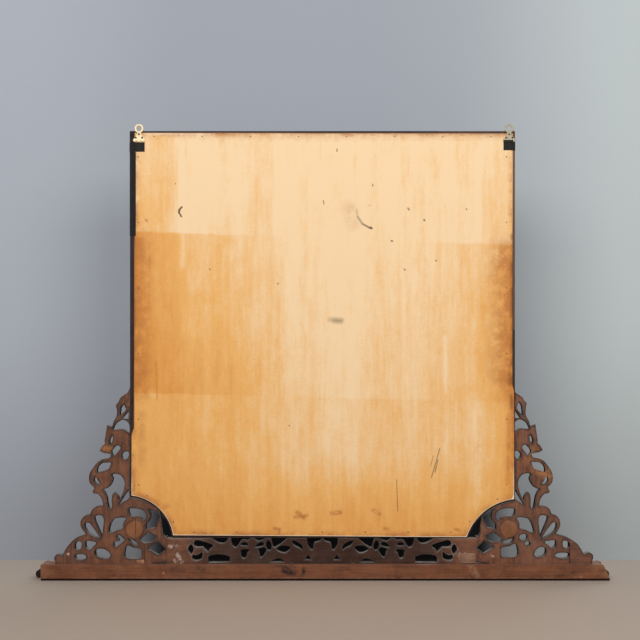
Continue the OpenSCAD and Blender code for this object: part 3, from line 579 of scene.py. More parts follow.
def metal(name, colour, tarnish, roughness, spots=0.4):
    """Old metal with tarnish in patches and fine scratches."""
    if name in bpy.data.materials:
        return bpy.data.materials[name]
    material, w, shader, place = start_material(name)
    mask = w.times(w.blotch(place, 190.0, 0.4, 0.7), spots)
    scratch = w.noise(w.vector("MULTIPLY", place, (2200, 2200, 260)), 1.0, 2.0, 0.6)
    colour = w.blend(mask, colour, tarnish)
    colour = w.blend(w.rubbed(place, 0.6), colour, tinted(tarnish, 1.3))
    w.fill(shader, Base_Color=colour, Metallic=w.scaled(mask, -0.5, 0.85),
           Roughness=w.scaled(scratch, 0.25, roughness))
    w.bump(shader, 0.25, 0.1 * MM, scratch)
    return material


def brass(side):
    if side < 0:
        return metal("dull_brass", (0.43, 0.355, 0.24), (0.22, 0.19, 0.15), 0.42, 0.6)
    return metal("old_brass", (0.70, 0.55, 0.33), (0.40, 0.32, 0.20), 0.38)


def iron():
    return metal("dull_iron", (0.16, 0.13, 0.11), (0.09, 0.045, 0.025), 0.5, 0.7)


def silvered_glass():
    """Old silvering behind plain glass, with a few faint clouds towards the edge."""
    material, w, shader, place = start_material("silvered_glass")
    clouds = w.times(w.blotch(place, 5.0, 0.55, 0.9), 0.4)
    specks = w.blotch(place, 120.0, 0.66, 0.74)
    mask = w.times(w.ramp(w.attribute("edge"), 0.0, 50 * MM, 1.0, 0.0), w.largest(specks, clouds))
    w.fill(shader, Base_Color=w.blend(mask, (0.86, 0.88, 0.88), (0.30, 0.27, 0.22)), Metallic=1.0,
           Roughness=w.scaled(mask, 0.35, 0.015), Coat_Weight=0.3, Coat_Roughness=0.01)
    return material


def cloth_tape():
    """Black cloth tape: a fine weave and rubbed, greyish creases."""
    material, w, shader, place = start_material("cloth_tape")
    parts = w.parts(place)
    threads = 2 * math.pi / (0.5 * MM)
    warp = w.math("SINE", w.times(w.plus(parts["X"], parts["Y"]), threads))
    weft = w.math("SINE", w.times(parts["Z"], threads))
    patch = w.blotch(place, 60.0, 0.4, 0.75)
    w.fill(shader, Base_Color=w.blend(patch, (0.007, 0.006, 0.005), (0.024, 0.019, 0.015)),
           Roughness=w.scaled(patch, 0.15, 0.6), Specular_IOR_Level=0.25)
    w.bump(shader, 0.4, 0.2 * MM, w.times(warp, weft))
    return material


# The same for the backboard, whose mesh has points along its marks.
SCRATCHES = (
    (359, 951, 365, 944, 1.6, 1.3, 0.95), (365, 944, 366, 937, 1.9, 1.3, 0.95),
    (366, 937, 360, 927, 1.4, 1.3, 0.9),
    (-125, 897, -122, 899, 1.8, 2.0, 0.9), (-87, 944, -90, 926, 0.6, 2.4, 0.3),
    (-90, 926, -102, 908, 1.5, 2.6, 0.45),
    (-102, 908, -122, 897, 1.2, 2.4, 0.7), (-46, 661, -30, 662, 1.0, 11.0, 0.55),
    (-26, 663, -20, 664, 1.0, 9.0, 0.3), (-299, 335, -278, 262, 0.7, 1.4, 0.6),
    (-294, 306, -287, 276, 0.9, 1.6, 0.6), (-282, 316, -276, 290, 0.4, 1.3, 0.5),
    (-189, 256, -192, 176, 0.3, 1.1, 0.75),
    (-2, 968, -4, 958, 0.5, 1.0, 0.9), (-128, 1009, -128, 1005, 0.9, 1.2, 0.7),
    (-37, 1099, -37, 1093, 0.7, 1.2, 0.8), (-218, 948, -221, 944, 1.0, 2.0, 0.7),
    (-259, 918, -260, 917, 1.3, 1.6, 0.9), (-367, 946, -368, 945, 0.9, 1.4, 0.8),
    (-176, 865, -178, 864, 1.2, 1.5, 0.9), (-289, 815, -290, 814, 1.0, 1.4, 0.8),
    (-209, 792, -210, 791, 1.1, 1.4, 0.8), (288, 793, 287, 792, 0.8, 1.6, 0.7),
    (113, 756, 114, 755, 0.9, 1.4, 0.8), (375, 1011, 375, 1010, 0.7, 1.2, 0.8),
    (84, 394, 85, 393, 0.7, 1.2, 0.8))
EDGE_GRIME = ((-484, 880, -484, 500, 0.5, 7, 0.8), (-480, 545, -478, 500, 1, 7, 0.6),
              (-482, 470, -482, 440, 1, 6, 0.7), (480, 250, 482, 230, 1, 5, 0.6),
              (460, 1142, -470, 1138, 0.3, 5, 0.5), (478, 880, 480, 560, 0.5, 5, 0.4))
STAINS = (
    (448, 916, 450, 918, 2.0, 3.0, 0.9), (440, 830, 444, 700, 0.5, 3.0, 0.6),
    (425, 560, 422, 460, 0.5, 3.0, 0.45), (446, 640, 452, 520, 1, 12, 0.45),
    (-474, 820, -478, 520, 6, 75, 0.78), (-460, 520, -476, 470, 6, 40, 0.5),
    (474, 860, 478, 490, 3, 55, 0.78), (470, 1142, -470, 1138, 1, 20, 0.5), (64, 172, 48, 158, 1, 8, 0.9),
    (-44, 172, -24, 171, 1, 8, 0.9), (70, 160, 40, 164, 0.5, 6, 0.9),
    (-158, 131, -168, 129, 1, 6, 1.0), (-340, 129, -350, 124, 1, 6, 1.0),
    (122, 131, 110, 128, 1, 6, 1.0), (-130, 178, -146, 168, 1, 7, 0.9),
    (395, 190, 405, 184, 2, 9, 0.5), (-70, 945, -78, 915, 4, 26, 0.3),
    (460, 300, 462, 420, 2, 14, 0.45), (-476, 420, -474, 250, 1, 9, 0.6))
LIGHT_STREAKS = (
    (-389, 455, -392, 190, 6, 24, 0.75), (-312, 620, -314, 480, 1, 7, 0.7),
    (-396, 1096, -398, 867, 2, 9, 0.5), (358, 1135, 356, 800, 2, 10, 0.7),
    (330, 1120, 240, 980, 8, 70, 0.35), (150, 690, 140, 400, 8, 30, 0.3),
    (-30, 640, -50, 330, 10, 50, 0.25), (436, 480, 430, 470, 3, 10, 0.7),
    (455, 1138, 285, 1137, 0.8, 4, 0.84), (424, 1000, 424, 950, 2, 12, 0.4))


# Where the backboard has darkened, in metres: pale at one X, and a slanting band across it.
PALE_X = -0.06
RIGHT_REACH, LEFT_REACH = 0.525, 0.42
BAND_TOP, TOP_SLOPE = 0.874, 0.036
BAND_FOOT, FOOT_SLOPE = 0.4654, 0.0254
BAND_H = 0.41


def board_tone(w, parts, place):
    """How dark the backboard is, from 0 to 1: a slanting band and the sides, darkened with age, and a
    darker foot that is partly the wood's tone and partly painted shade.
    """
    x, z = parts["X"], parts["Z"]
    from_pale = w.minus(x, PALE_X)
    left = w.math("GREATER_THAN", 0.0, from_pale)
    side = w.largest(w.math("DIVIDE", from_pale, RIGHT_REACH),
                     w.math("DIVIDE", from_pale, -LEFT_REACH))
    side = w.plus(side, w.scaled(w.noise(place, 5.0, 3.0, 0.6), 0.2, -0.1))
    side = w.largest(side, 0.0)
    end = w.times(w.ramp(side, 0.86, 1.0), 0.35, left)
    fall = w.scaled(left, -0.45, 1.0)
    fallen = w.times(side, fall)
    ragged = w.plus(z, w.scaled(w.noise(place, 26.0, 4.0, 0.6), 0.012, -0.006))
    under = w.minus(w.scaled(x, TOP_SLOPE, BAND_TOP), ragged)
    over = w.minus(ragged, w.scaled(x, FOOT_SLOPE, BAND_FOOT))
    depth = w.math("DIVIDE", under, BAND_H, clamp=True)
    above = w.times(w.ramp(side, 0.76, 0.93), w.ramp(z, 1.12, 0.9, 0.22, 0.38),
                    w.scaled(fall, 0.9, 0.35))
    high = w.math("POWER", side, 3.0)
    low = w.scaled(w.math("POWER", side, 1.3), 0.98, 0.12)
    band = w.plus(w.times(w.fade(depth, high, low), fall), end)
    below = w.plus(w.scaled(fallen, 0.52, 0.19), end)
    # Darker towards the foot: partly the wood, partly painted shade.
    below = w.fade(w.ramp(z, 0.34, 0.105), below, w.scaled(fallen, 0.18, 0.72))
    tone = w.fade(w.ramp(under, -0.002, 0.006), above, band)
    return w.fade(w.ramp(over, -0.003, 0.003), below, tone)


def board_wood():
    """The backboard: upright grain, bleached middle, a toasted band and grimy edges."""
    colours = settings().board
    material, w, shader, place = start_material("backboard_wood")
    parts = w.parts(place)
    wide = w.noise(w.vector("MULTIPLY", place, (13, 13, 0.8)), 1.0, 4.0, 0.6, 0.5)
    grain = w.group("mirror_grain", Vector=place, Frequency=(60.0, 60.0, 2.2), Wander=2.5)
    fine = w.group("mirror_grain", Vector=place, Frequency=(330.0, 330.0, 12.0), Wander=0.8)
    fleck = w.noise(w.vector("MULTIPLY", place, (150, 150, 420)), 1.0, 3.0, 0.6)
    mottle = w.noise(w.vector("MULTIPLY", place, (42, 42, 17)), 1.0, 5.0, 0.7)
    tone = board_tone(w, parts, place)
    for value, amount in ((wide, 0.8), (grain["Streaks"], 0.12), (fine["Streaks"], 0.07),
                          (fleck, 0.35), (mottle, 0.6)):
        tone = w.plus(tone, w.scaled(value, amount, -0.5 * amount))
    tone = w.minus(tone, w.times(w.attribute("bleached"), 0.3))
    base = w.blend(w.math("MULTIPLY", tone, 2.0, clamp=True), colours.pale, colours.honey)
    base = w.blend(w.scaled(tone, 2.0, -1.0, clamp=True), base, colours.toasted)
    base = w.blend(w.scaled(tone, 1.2, -1.2, clamp=True), base, colours.stain)
    edge, stained = w.attribute("edge"), w.attribute("stained")
    edging = w.times(w.ramp(edge, 0.0, 19 * MM, 0.85, 0.0),
                     w.ramp(w.noise(place, 21.0, 5.0, 0.72), 0.36, 0.66))
    border = w.times(w.ramp(edge, 0.0, 5 * MM, 0.75, 0.0), w.ramp(parts["Z"], 0.3, 0.4))
    cloudy = w.ramp(w.noise(place, 34.0, 5.0, 0.7), 0.25, 0.65)
    wisps = w.ramp(w.noise(place, 120.0, 3.0, 0.6, 1.5), 0.42, 0.56)
    patchy = w.times(stained, w.fade(w.ramp(stained, 0.79, 0.85), cloudy, wisps))
    base = w.blend(w.largest(edging, border, patchy), base, colours.stain)
    base = w.blend(w.times(w.attribute("grimy"), cloudy), base, tinted(colours.stain, 0.42))
    # Cream edges along the foot: rubbed wood and a painted highlight on the edges.
    rubbed_and_lit_foot = w.times(w.ramp(edge, 0.8 * MM, 2.2 * MM, 0.8, 0.0), w.ramp(parts["Z"], 0.33, 0.2))
    cream = w.largest(rubbed_and_lit_foot, w.ramp(w.attribute("bleached"), 0.78, 0.88))
    base = w.blend(cream, base, colours.cream)
    base = w.blend(w.times(w.blotch(place, 90.0, 0.72, 0.78), 0.5), base, colours.stain)
    base = w.blend(w.attribute("scratched"), base, colours.grime)
    w.fill(shader, Base_Color=base, Roughness=w.scaled(mottle, 0.15, 0.53), Specular_IOR_Level=0.2)
    w.bump(shader, 0.3, 0.2 * MM, fine["Height"])
    return material


# Mesh helpers

def metres(x, y, z):
    return Vector((x * MM, y * MM, z * MM))


CREASE = 32.0                        # turn, in degrees, at which shading stays sharp
# Turns of an edge at which its rubbing starts and is full, and how far in a rubbed edge reaches.
SLIGHT_TURN, FULL_TURN = math.radians(12), math.radians(40)
RUBBED_W = 2.2


def paint(mesh, name, values):
    layer = mesh.attributes.new(name, "FLOAT", "POINT")
    layer.data.foreach_set("value", np.asarray(values, np.float32))


def smooth(mesh, crease):
    """Smooth shading, apart from edges that turn by more than crease degrees."""
    mesh.shade_smooth()
    mesh.set_sharp_from_angle(angle=math.radians(crease))


def settle(work, name):
    """Turns a bmesh into a mesh with outward normals, smooth faces and painted edges."""
    bmesh.ops.recalc_face_normals(work, faces=work.faces)
    wear = np.zeros(len(work.verts))
    work.verts.index_update()
    for edge in work.edges:
        if edge.is_manifold:
            turn = edge.calc_face_angle_signed(0.0)
            if turn > SLIGHT_TURN:
                for vert in edge.verts:
                    wear[vert.index] = max(wear[vert.index], min(1.0, turn / FULL_TURN))
    mesh = bpy.data.meshes.new(name)
    work.to_mesh(mesh)
    work.free()
    smooth(mesh, CREASE)
    paint(mesh, "wear", wear)
    return mesh


def add_object(name, data):
    made = bpy.data.objects.new(name, data)
    bpy.context.scene.collection.objects.link(made)
    return made


def add_piece(name, mesh, materials, replaced):
    """Puts a piece into the scene, on the mirror's body, in place of a CAD node."""
    for material in materials:
        mesh.materials.append(material)
    piece = add_object(name, mesh)
    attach(piece, "root")
    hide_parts(replaced)


def dress(node, material):
    """Gives a CAD node's object a material."""
    node_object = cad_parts[node]
    if not node_object.material_slots:
        node_object.data.materials.append(material)
    for slot in node_object.material_slots:
        slot.material = material


def bridge(work, low, high):
    """Faces between two closed rings with the same number of points."""
    for a, b, c, d in zip(low, low[1:] + low[:1], high[1:] + high[:1], high):
        work.faces.new((a, b, c, d))


def lofted(name, stations):
    """A closed solid through rings of points, one ring to a station."""
    work = bmesh.new()
    rings = [[work.verts.new(point) for point in ring] for ring in stations]
    for low, high in zip(rings, rings[1:]):
        bridge(work, low, high)
    work.faces.new(rings[0][::-1])
    work.faces.new(rings[-1])
    bmesh.ops.remove_doubles(work, verts=work.verts, dist=0.002 * MM)
    return settle(work, name)


def rounded(points, radius, steps=3, least=25.0):
    """A closed outline with its corners rounded; gentle turns stay as they are."""
    made = []
    count = len(points)
    for i, corner in enumerate(points):
        before, after = Vector(points[i - 1]), Vector(points[(i + 1) % count])
        corner = Vector(corner)
        back, on = before - corner, after - corner
        turn = math.pi - back.angle(on, 0.0)
        if turn < math.radians(least) or min(back.length, on.length) < 0.2:
            made.append(tuple(corner))
            continue
        reach = min(radius * math.tan(turn / 2), back.length * 0.45, on.length * 0.45)
        start, end = corner + back.normalized() * reach, corner + on.normalized() * reach
        for k in range(steps + 1):
            t = k / steps
            made.append(tuple((1 - t) ** 2 * start + 2 * t * (1 - t) * corner + t * t * end))
    return made


def inset_ring(ring, by):
    """A ring drawn in towards its middle, for the eased end of a piece."""
    middle = sum(ring, Vector()) / len(ring)
    return [p + (middle - p).normalized() * min(by, (middle - p).length * 0.5) for p in ring]


def eased_copy(name, node, width):
    """A copy of a CAD node that has no small holes, with its sharp edges eased."""
    work = bmesh.new()
    work.from_mesh(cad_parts[node].data)
    bmesh.ops.remove_doubles(work, verts=work.verts, dist=0.01 * MM)
    bmesh.ops.dissolve_limit(work, angle_limit=math.radians(1), verts=work.verts,
                             edges=work.edges)
    sharp = [e for e in work.edges if e.is_manifold and e.calc_face_angle() > math.radians(30)]
    bmesh.ops.bevel(work, geom=sharp, offset=width, segments=2, affect="EDGES",
                    clamp_overlap=True, profile=0.5)
    return settle(work, name)


def solids_of(node):
    """Lowest and highest corners of each loose solid of a CAD node, in metres."""
    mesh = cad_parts[node].data
    work = bmesh.new()
    work.from_mesh(mesh)
    bmesh.ops.remove_doubles(work, verts=work.verts, dist=0.005 * MM)
    left = set(work.verts)
    found = []
    while left:
        stack = [left.pop()]
        solid = []
        while stack:
            vert = stack.pop()
            solid.append(vert.co.copy())
            for edge in vert.link_edges:
                other = edge.other_vert(vert)
                if other in left:
                    left.remove(other)
                    stack.append(other)
        found.append((Vector([min(p[i] for p in solid) for i in range(3)]),
                      Vector([max(p[i] for p in solid) for i in range(3)])))
    work.free()
    return sorted(found, key=lambda corners: tuple(corners[0]))


# Flat boards with an outline, cut from the faces of CAD nodes

FLAT = 0.99                          # least Y of a normal that counts as facing along Y


def cap_loops(node, towards):
    """Outline loops, in X and Z in metres, of a node's flat face towards +Y (1) or -Y (-1)."""
    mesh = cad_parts[node].data
    points = np.array([v.co for v in mesh.vertices])
    flats = [p for p in mesh.polygons if p.normal.y * towards >= FLAT]
    level = points[:, 1].max()
    if towards < 0:
        levels = np.round([points[p.vertices[0], 1] for p in flats], 5)
        areas = {v: sum(p.area for p, q in zip(flats, levels) if q == v) for v in set(levels)}
        level = max(areas, key=areas.get)
    directed = {}                    # edges used once, in the order of the faces
    for face in flats:
        if any(abs(points[i, 1] - level) > 0.02 * MM for i in face.vertices):
            continue
        keys = [tuple(np.round(points[i][[0, 2]], 6)) for i in face.vertices]
        for a, b in zip(keys, keys[1:] + keys[:1]):
            if directed.pop((b, a), None) is None:
                directed[a, b] = True
    onward = {}
    for a, b in directed:
        onward.setdefault(a, []).append(b)
    loops = []
    while onward:
        start = next(iter(onward))
        loop = [start]
        here = onward[start].pop()
        while here != start:
            loop.append(here)
            here = onward[here].pop()
        onward = {k: v for k, v in onward.items() if v}
        loops.append(np.array(loop))
    return loops


def refined(loop, step):
    """A loop with points no further apart than step, on a smooth curve between its corners."""
    for _ in range(3):
        before, after = np.roll(loop, 1, 0), np.roll(loop, -1, 0)
        a, b = loop - before, after - loop
        cosine = (a * b).sum(1) / np.maximum(np.linalg.norm(a, axis=1) * np.linalg.norm(b, axis=1),
                                              1e-12)
        corner = cosine < math.cos(math.radians(CREASE))
        made = []
        for i in range(len(loop)):
            j = (i + 1) % len(loop)
            made.append(loop[i])
            length = np.linalg.norm(loop[j] - loop[i])
            if length < step:
                continue
            middle = (loop[i] + loop[j]) / 2
            if not corner[i] and not corner[j] and length < 8 * MM:
                middle = middle * 9 / 8 - (before[i] + after[j]) / 16
            made.append(middle)
        loop = np.array(made)
    return loop


def segments_of(loops):
    return np.vstack([np.hstack([loop, np.roll(loop, -1, 0)]) for loop in loops])


def batches(points):
    """The points some 1500 at a time, to save memory."""
    return np.array_split(points, max(1, len(points) // 1500))


def edge_distance(points, segments):
    """Distance from each point to the nearest edge."""
    start, line = segments[:, :2], segments[:, 2:] - segments[:, :2]
    long2 = np.maximum((line ** 2).sum(1), 1e-16)
    found = []
    for batch in batches(points):
        from_start = batch[:, None, :] - start[None]
        t = np.clip((from_start * line[None]).sum(2) / long2, 0, 1)
        away = from_start - t[..., None] * line[None]
        found.append(np.sqrt((away ** 2).sum(2).min(1)))
    return np.concatenate(found)


def inside(points, segments):
    """Whether each point lies in the outline and outside its holes."""
    x1, z1, x2, z2 = segments.T
    found = []
    for batch in batches(points):
        x, z = batch[:, 0][:, None], batch[:, 1][:, None]
        crosses = (z1 > z) != (z2 > z)
        with np.errstate(divide="ignore", invalid="ignore"):
            at = x1 + (z - z1) * (x2 - x1) / (z2 - z1)
        found.append((crosses & (x < at)).sum(1) % 2 == 1)
    return np.concatenate(found)


def grid_points(loops, step, draw):
    """Slightly uneven grid over the outline's box."""
    every = np.vstack(loops)
    low, high = every.min(0), every.max(0)
    rows = []
    for k, z in enumerate(np.arange(low[1], high[1], step * 0.87)):
        x = np.arange(low[0] + (k % 2) * step / 2, high[0], step)
        rows.append(np.stack([x, np.full(len(x), z)], 1))
    grid = np.vstack(rows)
    shake = np.array([draw.uniform(-0.16, 0.16) * step for _ in range(grid.size)])
    return grid + shake.reshape(grid.shape)


def face_mesh(loops, step, ring, draw, extra):
    """Triangles over an outline: points, triangles, and how far each point is from the edge."""
    segments = segments_of(loops)
    border = np.vstack(loops)
    count = len(border)
    inner = grid_points(loops, step, draw)
    inner = inner[inside(inner, segments)]
    inner = inner[edge_distance(inner, segments) > max(0.45 * step, ring * 1.4)]
    around = []
    for loop in loops:
        tangent = np.roll(loop, -1, 0) - np.roll(loop, 1, 0)
        normal = np.stack([-tangent[:, 1], tangent[:, 0]], 1)
        normal /= np.maximum(np.linalg.norm(normal, axis=1), 1e-9)[:, None]
        for sign in SIDES:
            around.append(loop + sign * normal * ring)
    around = np.vstack(around)
    around = around[inside(around, segments)]
    around = around[edge_distance(around, segments) > 0.9 * ring]
    if extra is not None:
        extra = extra[inside(extra, segments)]
        around = np.vstack([around, extra[edge_distance(extra, segments) > 0.5 * ring]])
    points = np.vstack([border, around, inner])
    edges = []
    first = 0
    for loop in loops:
        edges += [(first + i, first + (i + 1) % len(loop)) for i in range(len(loop))]
        first += len(loop)
    found = geometry.delaunay_2d_cdt([Vector(p) for p in points], edges, [], 0, 1e-7)
    placed = np.array([list(p) for p in found[0]])
    triangles = np.array([t for t in found[2] if len(t) == 3])
    middles = placed[triangles].mean(1)
    triangles = triangles[inside(middles, segments)]
    lookup = {}
    for new, olds in enumerate(found[3]):
        for old in olds:
            lookup[old] = new
    ring_index = [lookup[i] for i in range(count)]
    distance = edge_distance(placed, segments)
    distance[ring_index] = 0.0
    return placed, triangles, distance, ring_index


def relief_board(name, loops, back, front, back_depth, front_depth, step, ring, seed,
                 wall_steps=3, joints=None, extra=None, crease=50.0):
    """A board between two Y planes: each face sinks by its own depth of x, z and edge distance."""
    draw = random.Random(seed)
    placed, triangles, distance, border = face_mesh(loops, step, ring, draw, extra)
    if joints:
        segments = segments_of(loops)
        distance = edge_distance(placed, segments[~joints(segments)])
    used = np.zeros(len(placed), bool)
    used[triangles.ravel()] = True
    number = np.cumsum(used) - 1
    placed, distance = placed[used], distance[used]
    triangles = number[triangles]
    border = number[border]
    count = len(placed)
    rear = back - back_depth(placed[:, 0], placed[:, 1], distance)
    fore = front + front_depth(placed[:, 0], placed[:, 1], distance)
    points = [np.stack([placed[:, 0], y, placed[:, 1]], 1) for y in (rear, fore)]
    area = np.cross(placed[triangles[:, 1]] - placed[triangles[:, 0]],
                    placed[triangles[:, 2]] - placed[triangles[:, 0]])
    triangles[area < 0] = triangles[area < 0][:, ::-1]
    faces = [list(t[::-1]) for t in triangles] + [list(t + count) for t in triangles]
    slots = [0] * len(faces)         # 0 for the faces, 1 for the walls
    edge_values = [distance, distance]
    first = 0
    total = 2 * count
    for loop in loops:
        rim = border[first:first + len(loop)]
        first += len(loop)
        rings = [rim]
        for k in range(1, wall_steps):
            t = k / wall_steps
            wall = placed[rim]
            points.append(np.stack([wall[:, 0], rear[rim] * (1 - t) + fore[rim] * t,
                                    wall[:, 1]], 1))
            edge_values.append(distance[rim])
            rings.append(np.arange(total, total + len(rim)))
            total += len(rim)
        rings.append(rim + count)
        for a, b in zip(rings, rings[1:]):
            for i in range(len(rim)):
                j = (i + 1) % len(rim)
                faces.append([a[i], a[j], b[j], b[i]])
                slots.append(1)
    mesh = bpy.data.meshes.new(name)
    mesh.from_pydata(np.vstack(points).tolist(), [], [[int(i) for i in f] for f in faces])
    work = bmesh.new()
    work.from_mesh(mesh)
    bmesh.ops.recalc_face_normals(work, faces=work.faces)
    work.to_mesh(mesh)
    work.free()
    smooth(mesh, crease)
    mesh.polygons.foreach_set("material_index", slots)
    values = np.concatenate(edge_values)
    paint(mesh, "edge", values)
    paint(mesh, "wear", np.clip(1 - values / (RUBBED_W * MM), 0, 1))
    return mesh


# Carving

GROOVE = 1.3                         # depth and half width of the groove round a disc


def carved_at(u, v, side):
    """A place of the side pattern, drawn out from the frame and up from the base, in metres."""
    if side < 0:
        u = float(np.interp(u, *LEFT_PLACES))
    return side * (SIDE_X + u) * MM, (BASE_H + v) * MM


# Rosettes: out from the frame's side or from the middle, up from the base, radius, and by how
# many petals each has fewer than the fullest.
SIDE_ROSETTES = ((21, 319, 15, 2), (64, 213, 15, 2), (-11, 87.5, 24, 0))
FRIEZE_ROSETTES = ((68, 26, 11, 3), (318, 33, 7, 3))


def rosettes():
    """Centre, radius and number of petals of every rosette, in metres."""
    petals = settings().carving.petals
    found = []
    for side in SIDES:
        for u, v, radius, fewer in SIDE_ROSETTES:
            found.append((*carved_at(u, v, side), radius * MM, petals - fewer))
        for x, v, radius, fewer in FRIEZE_ROSETTES:
            found.append((side * x * MM, (BASE_H + v) * MM, radius * MM, petals - fewer))
    return found


def rounded_drop(distance, drop, reach):
    """How far a quarter-round edge falls away."""
    t = 1 - np.clip(distance / reach, 0, 1)
    return drop * (1 - np.sqrt(np.clip(1 - t * t, 0, 1)))


def carved_front(x, z, distance):
    """Depth of the carving under the highest plane: rounded stems, sunk ground and rosettes."""
    carving = settings().carving
    depth = BOSS_H * MM + rounded_drop(distance, carving.stem_drop, carving.stem_round)
    gouged = np.sin(x * 410 + 1.3 * np.sin(z * 300)) * np.sin(z * 370 + x * 60) ** 2
    depth += 0.5 * MM * gouged * np.clip(distance / (6 * MM), 0, 1)
    for cx, cz, radius, petals in rosettes():
        r = np.hypot(x - cx, z - cz) / radius
        lobe = 0.5 + 0.5 * np.cos(petals * np.arctan2(z - cz, x - cx))
        dome = BOSS_H * MM * (1 - np.clip(r, 0, 1) ** 2) ** 0.5
        cut = 1.6 * MM * (1 - lobe) ** 3 * np.clip((r - 0.3) * 4, 0, 1)
        eye = 1.4 * MM * np.exp(-((r - 0.3) / 0.06) ** 2)
        rim = 1.5 * MM * np.exp(-((r - 1.0) / 0.07) ** 2)
        rosette = BOSS_H * MM + rim + cut + eye - dome
        depth = np.where(r < 1.12, np.minimum(depth, rosette), depth)
    return np.clip(depth, 0.1 * MM, 14 * MM)


def carved_back(x, z, distance):
    """The sawn back: eased edges, slight waves of the plane, and a groove round each disc."""
    ease = settings().carving.back_ease
    wave = 0.12 * MM * (1 + np.sin(x * 130 + 2 * np.sin(z * 90)))
    depth = rounded_drop(distance, ease, 1.6 * ease) + wave * np.clip(distance / (3 * MM), 0, 1)
    for cx, cz, radius, _ in rosettes():
        if radius > 20 * MM:
            away = np.hypot(x - cx, z - cz) - radius
            depth = depth + GROOVE * MM * np.exp(-(away / (GROOVE * MM)) ** 2)
    return depth


# Carved boards: the flat face, 1 for the back, that gives the outline, and the grain's direction.
FRETS = (("wing_left", 1, "z"), ("wing_right", 1, "z"), ("wing_end_left", 1, "x"),
         ("corner_scroll_left", 1, "z"), ("corner_scroll_right", -1, "z"), ("frieze", 1, "x"))


def at_a_joint(segments):
    """Which outline segments lie where two boards meet, or on the base."""
    reach = 0.3 * MM
    ends = [x * MM for node, *_ in FRETS for x in (box_mm(node)[0].x, box_mm(node)[1].x)]
    found = np.abs(segments[:, [1, 3]] - FRET_LOW.z * MM).max(1) < reach
    upright = np.abs(segments[:, 0] - segments[:, 2]) < 0.05 * MM
    for x in ends:
        if sum(abs(x - other) < reach for other in ends) > 1:
            found |= upright & (np.abs(segments[:, 0] - x) < reach)
    return found


def make_carving():
    carving = settings().carving
    for seed, (node, towards, along) in enumerate(FRETS):
        loops = [refined(loop, carving.step * 0.9) for loop in cap_loops(node, towards)]
        mesh = relief_board("carved_" + node, loops, BACK_Y * MM, (FRET_Y - BOSS_H) * MM,
                            carved_back, carved_front, step=carving.step, ring=1.1 * MM,
                            seed=seed, joints=at_a_joint)
        face = frieze_wood() if node == "frieze" else carved_wood(along)
        add_piece("carved_" + node, mesh, [face, hollow_wood()], node)


# Base

def bead_profile():
    """Section of the base moulding: out from its top edge, and up."""
    bead_x = MOULD_OUT - BEAD_R
    cove_x, fillet_z = bead_x + 2.5, 2 * BEAD_R + 1
    cove_z = BASE_H - LIP_H
    cove_h = cove_z - fillet_z
    cove_w = 0.95 * cove_h
    back = MOULD_OUT - (MOULD_HIGH.y - MOULD_LOW.y)
    points = [(back, 0.0)]
    for i in range(13):
        t = math.radians(-90 + 166 * i / 12)
        points.append((bead_x + BEAD_R * math.cos(t), BEAD_R + BEAD_R * math.sin(t)))
    points.append((cove_x, fillet_z))
    for i in range(1, 9):
        t = math.radians(-90 - 90 * i / 8)
        points.append((cove_x + cove_w * math.cos(t), cove_z + cove_h * math.sin(t)))
    return points + [(1.0, BASE_H - 1.6), (0.0, BASE_H - 0.4), (-0.8, BASE_H), (back, BASE_H)]


def moulding_ring(side):
    """Section of the moulding at its mitre at one end of the base."""
    return [metres(side * (HALF_W - MOULD_OUT + out), -REAR_Y + MOULD_OUT - out, up)
            for out, up in bead_profile()]


def make_moulding():
    left, right = moulding_ring(-1), moulding_ring(1)
    front = [[a.lerp(b, t) for a, b in zip(left, right)] for t in np.linspace(0, 1, 25)]
    add_piece("base_moulding_front", lofted("base_moulding_front", front),
              [moulding_wood()], "base_front_moulding")
    for ring, word in ((left, "left"), (right, "right")):
        name = "base_moulding_" + word
        end = [Vector((p.x, (RAIL_Y - MOULD_GAP) * MM, p.z)) for p in ring]
        add_piece(name, lofted(name, [ring, end]), [return_wood()],
                  "base_return_" + word)


def make_rail():
    section = rounded([(RAIL_Y, 0), (REAR_Y - RAIL_CHAMFER, 0), (REAR_Y, RAIL_CHAMFER),
                       (REAR_Y, BASE_H), (RAIL_Y, BASE_H)], radius=1.3)
    low, high = RAIL_LOW.x, RAIL_HIGH.x
    stations = []
    draw = random.Random(7)
    for t in np.linspace(0, 1, 37):
        wave = [draw.uniform(-0.12, 0.0) for _ in section]
        ring = []
        for (y, z), shift in zip(section, wave):
            rise = max(0.0, (z - RAIL_END_FOOT) / (BASE_H - RAIL_END_FOOT))
            start = low + RAIL_END_SLANT * rise
            ring.append(metres(start + (high - start) * t, y + shift, z))
        stations.append(ring)
    ease = 1.2 * MM
    stations = [inset_ring(stations[0], ease)] + stations + [inset_ring(stations[-1], ease)]
    for ring, shift in ((stations[1], 1.0), (stations[-2], -1.0)):
        for point in ring:
            point.x += shift * MM
    add_piece("base_rail", lofted("base_rail", stations), [rail_wood()],
              "base_rear_rail")


def make_base():
    make_moulding()
    make_rail()


# Frame

def arc(x, y, radius, first, last, step):
    """Points on an arc, its angles in whole degrees."""
    return [(x + radius * math.cos(math.radians(a)), y + radius * math.sin(math.radians(a)))
            for a in range(first, last, step)]


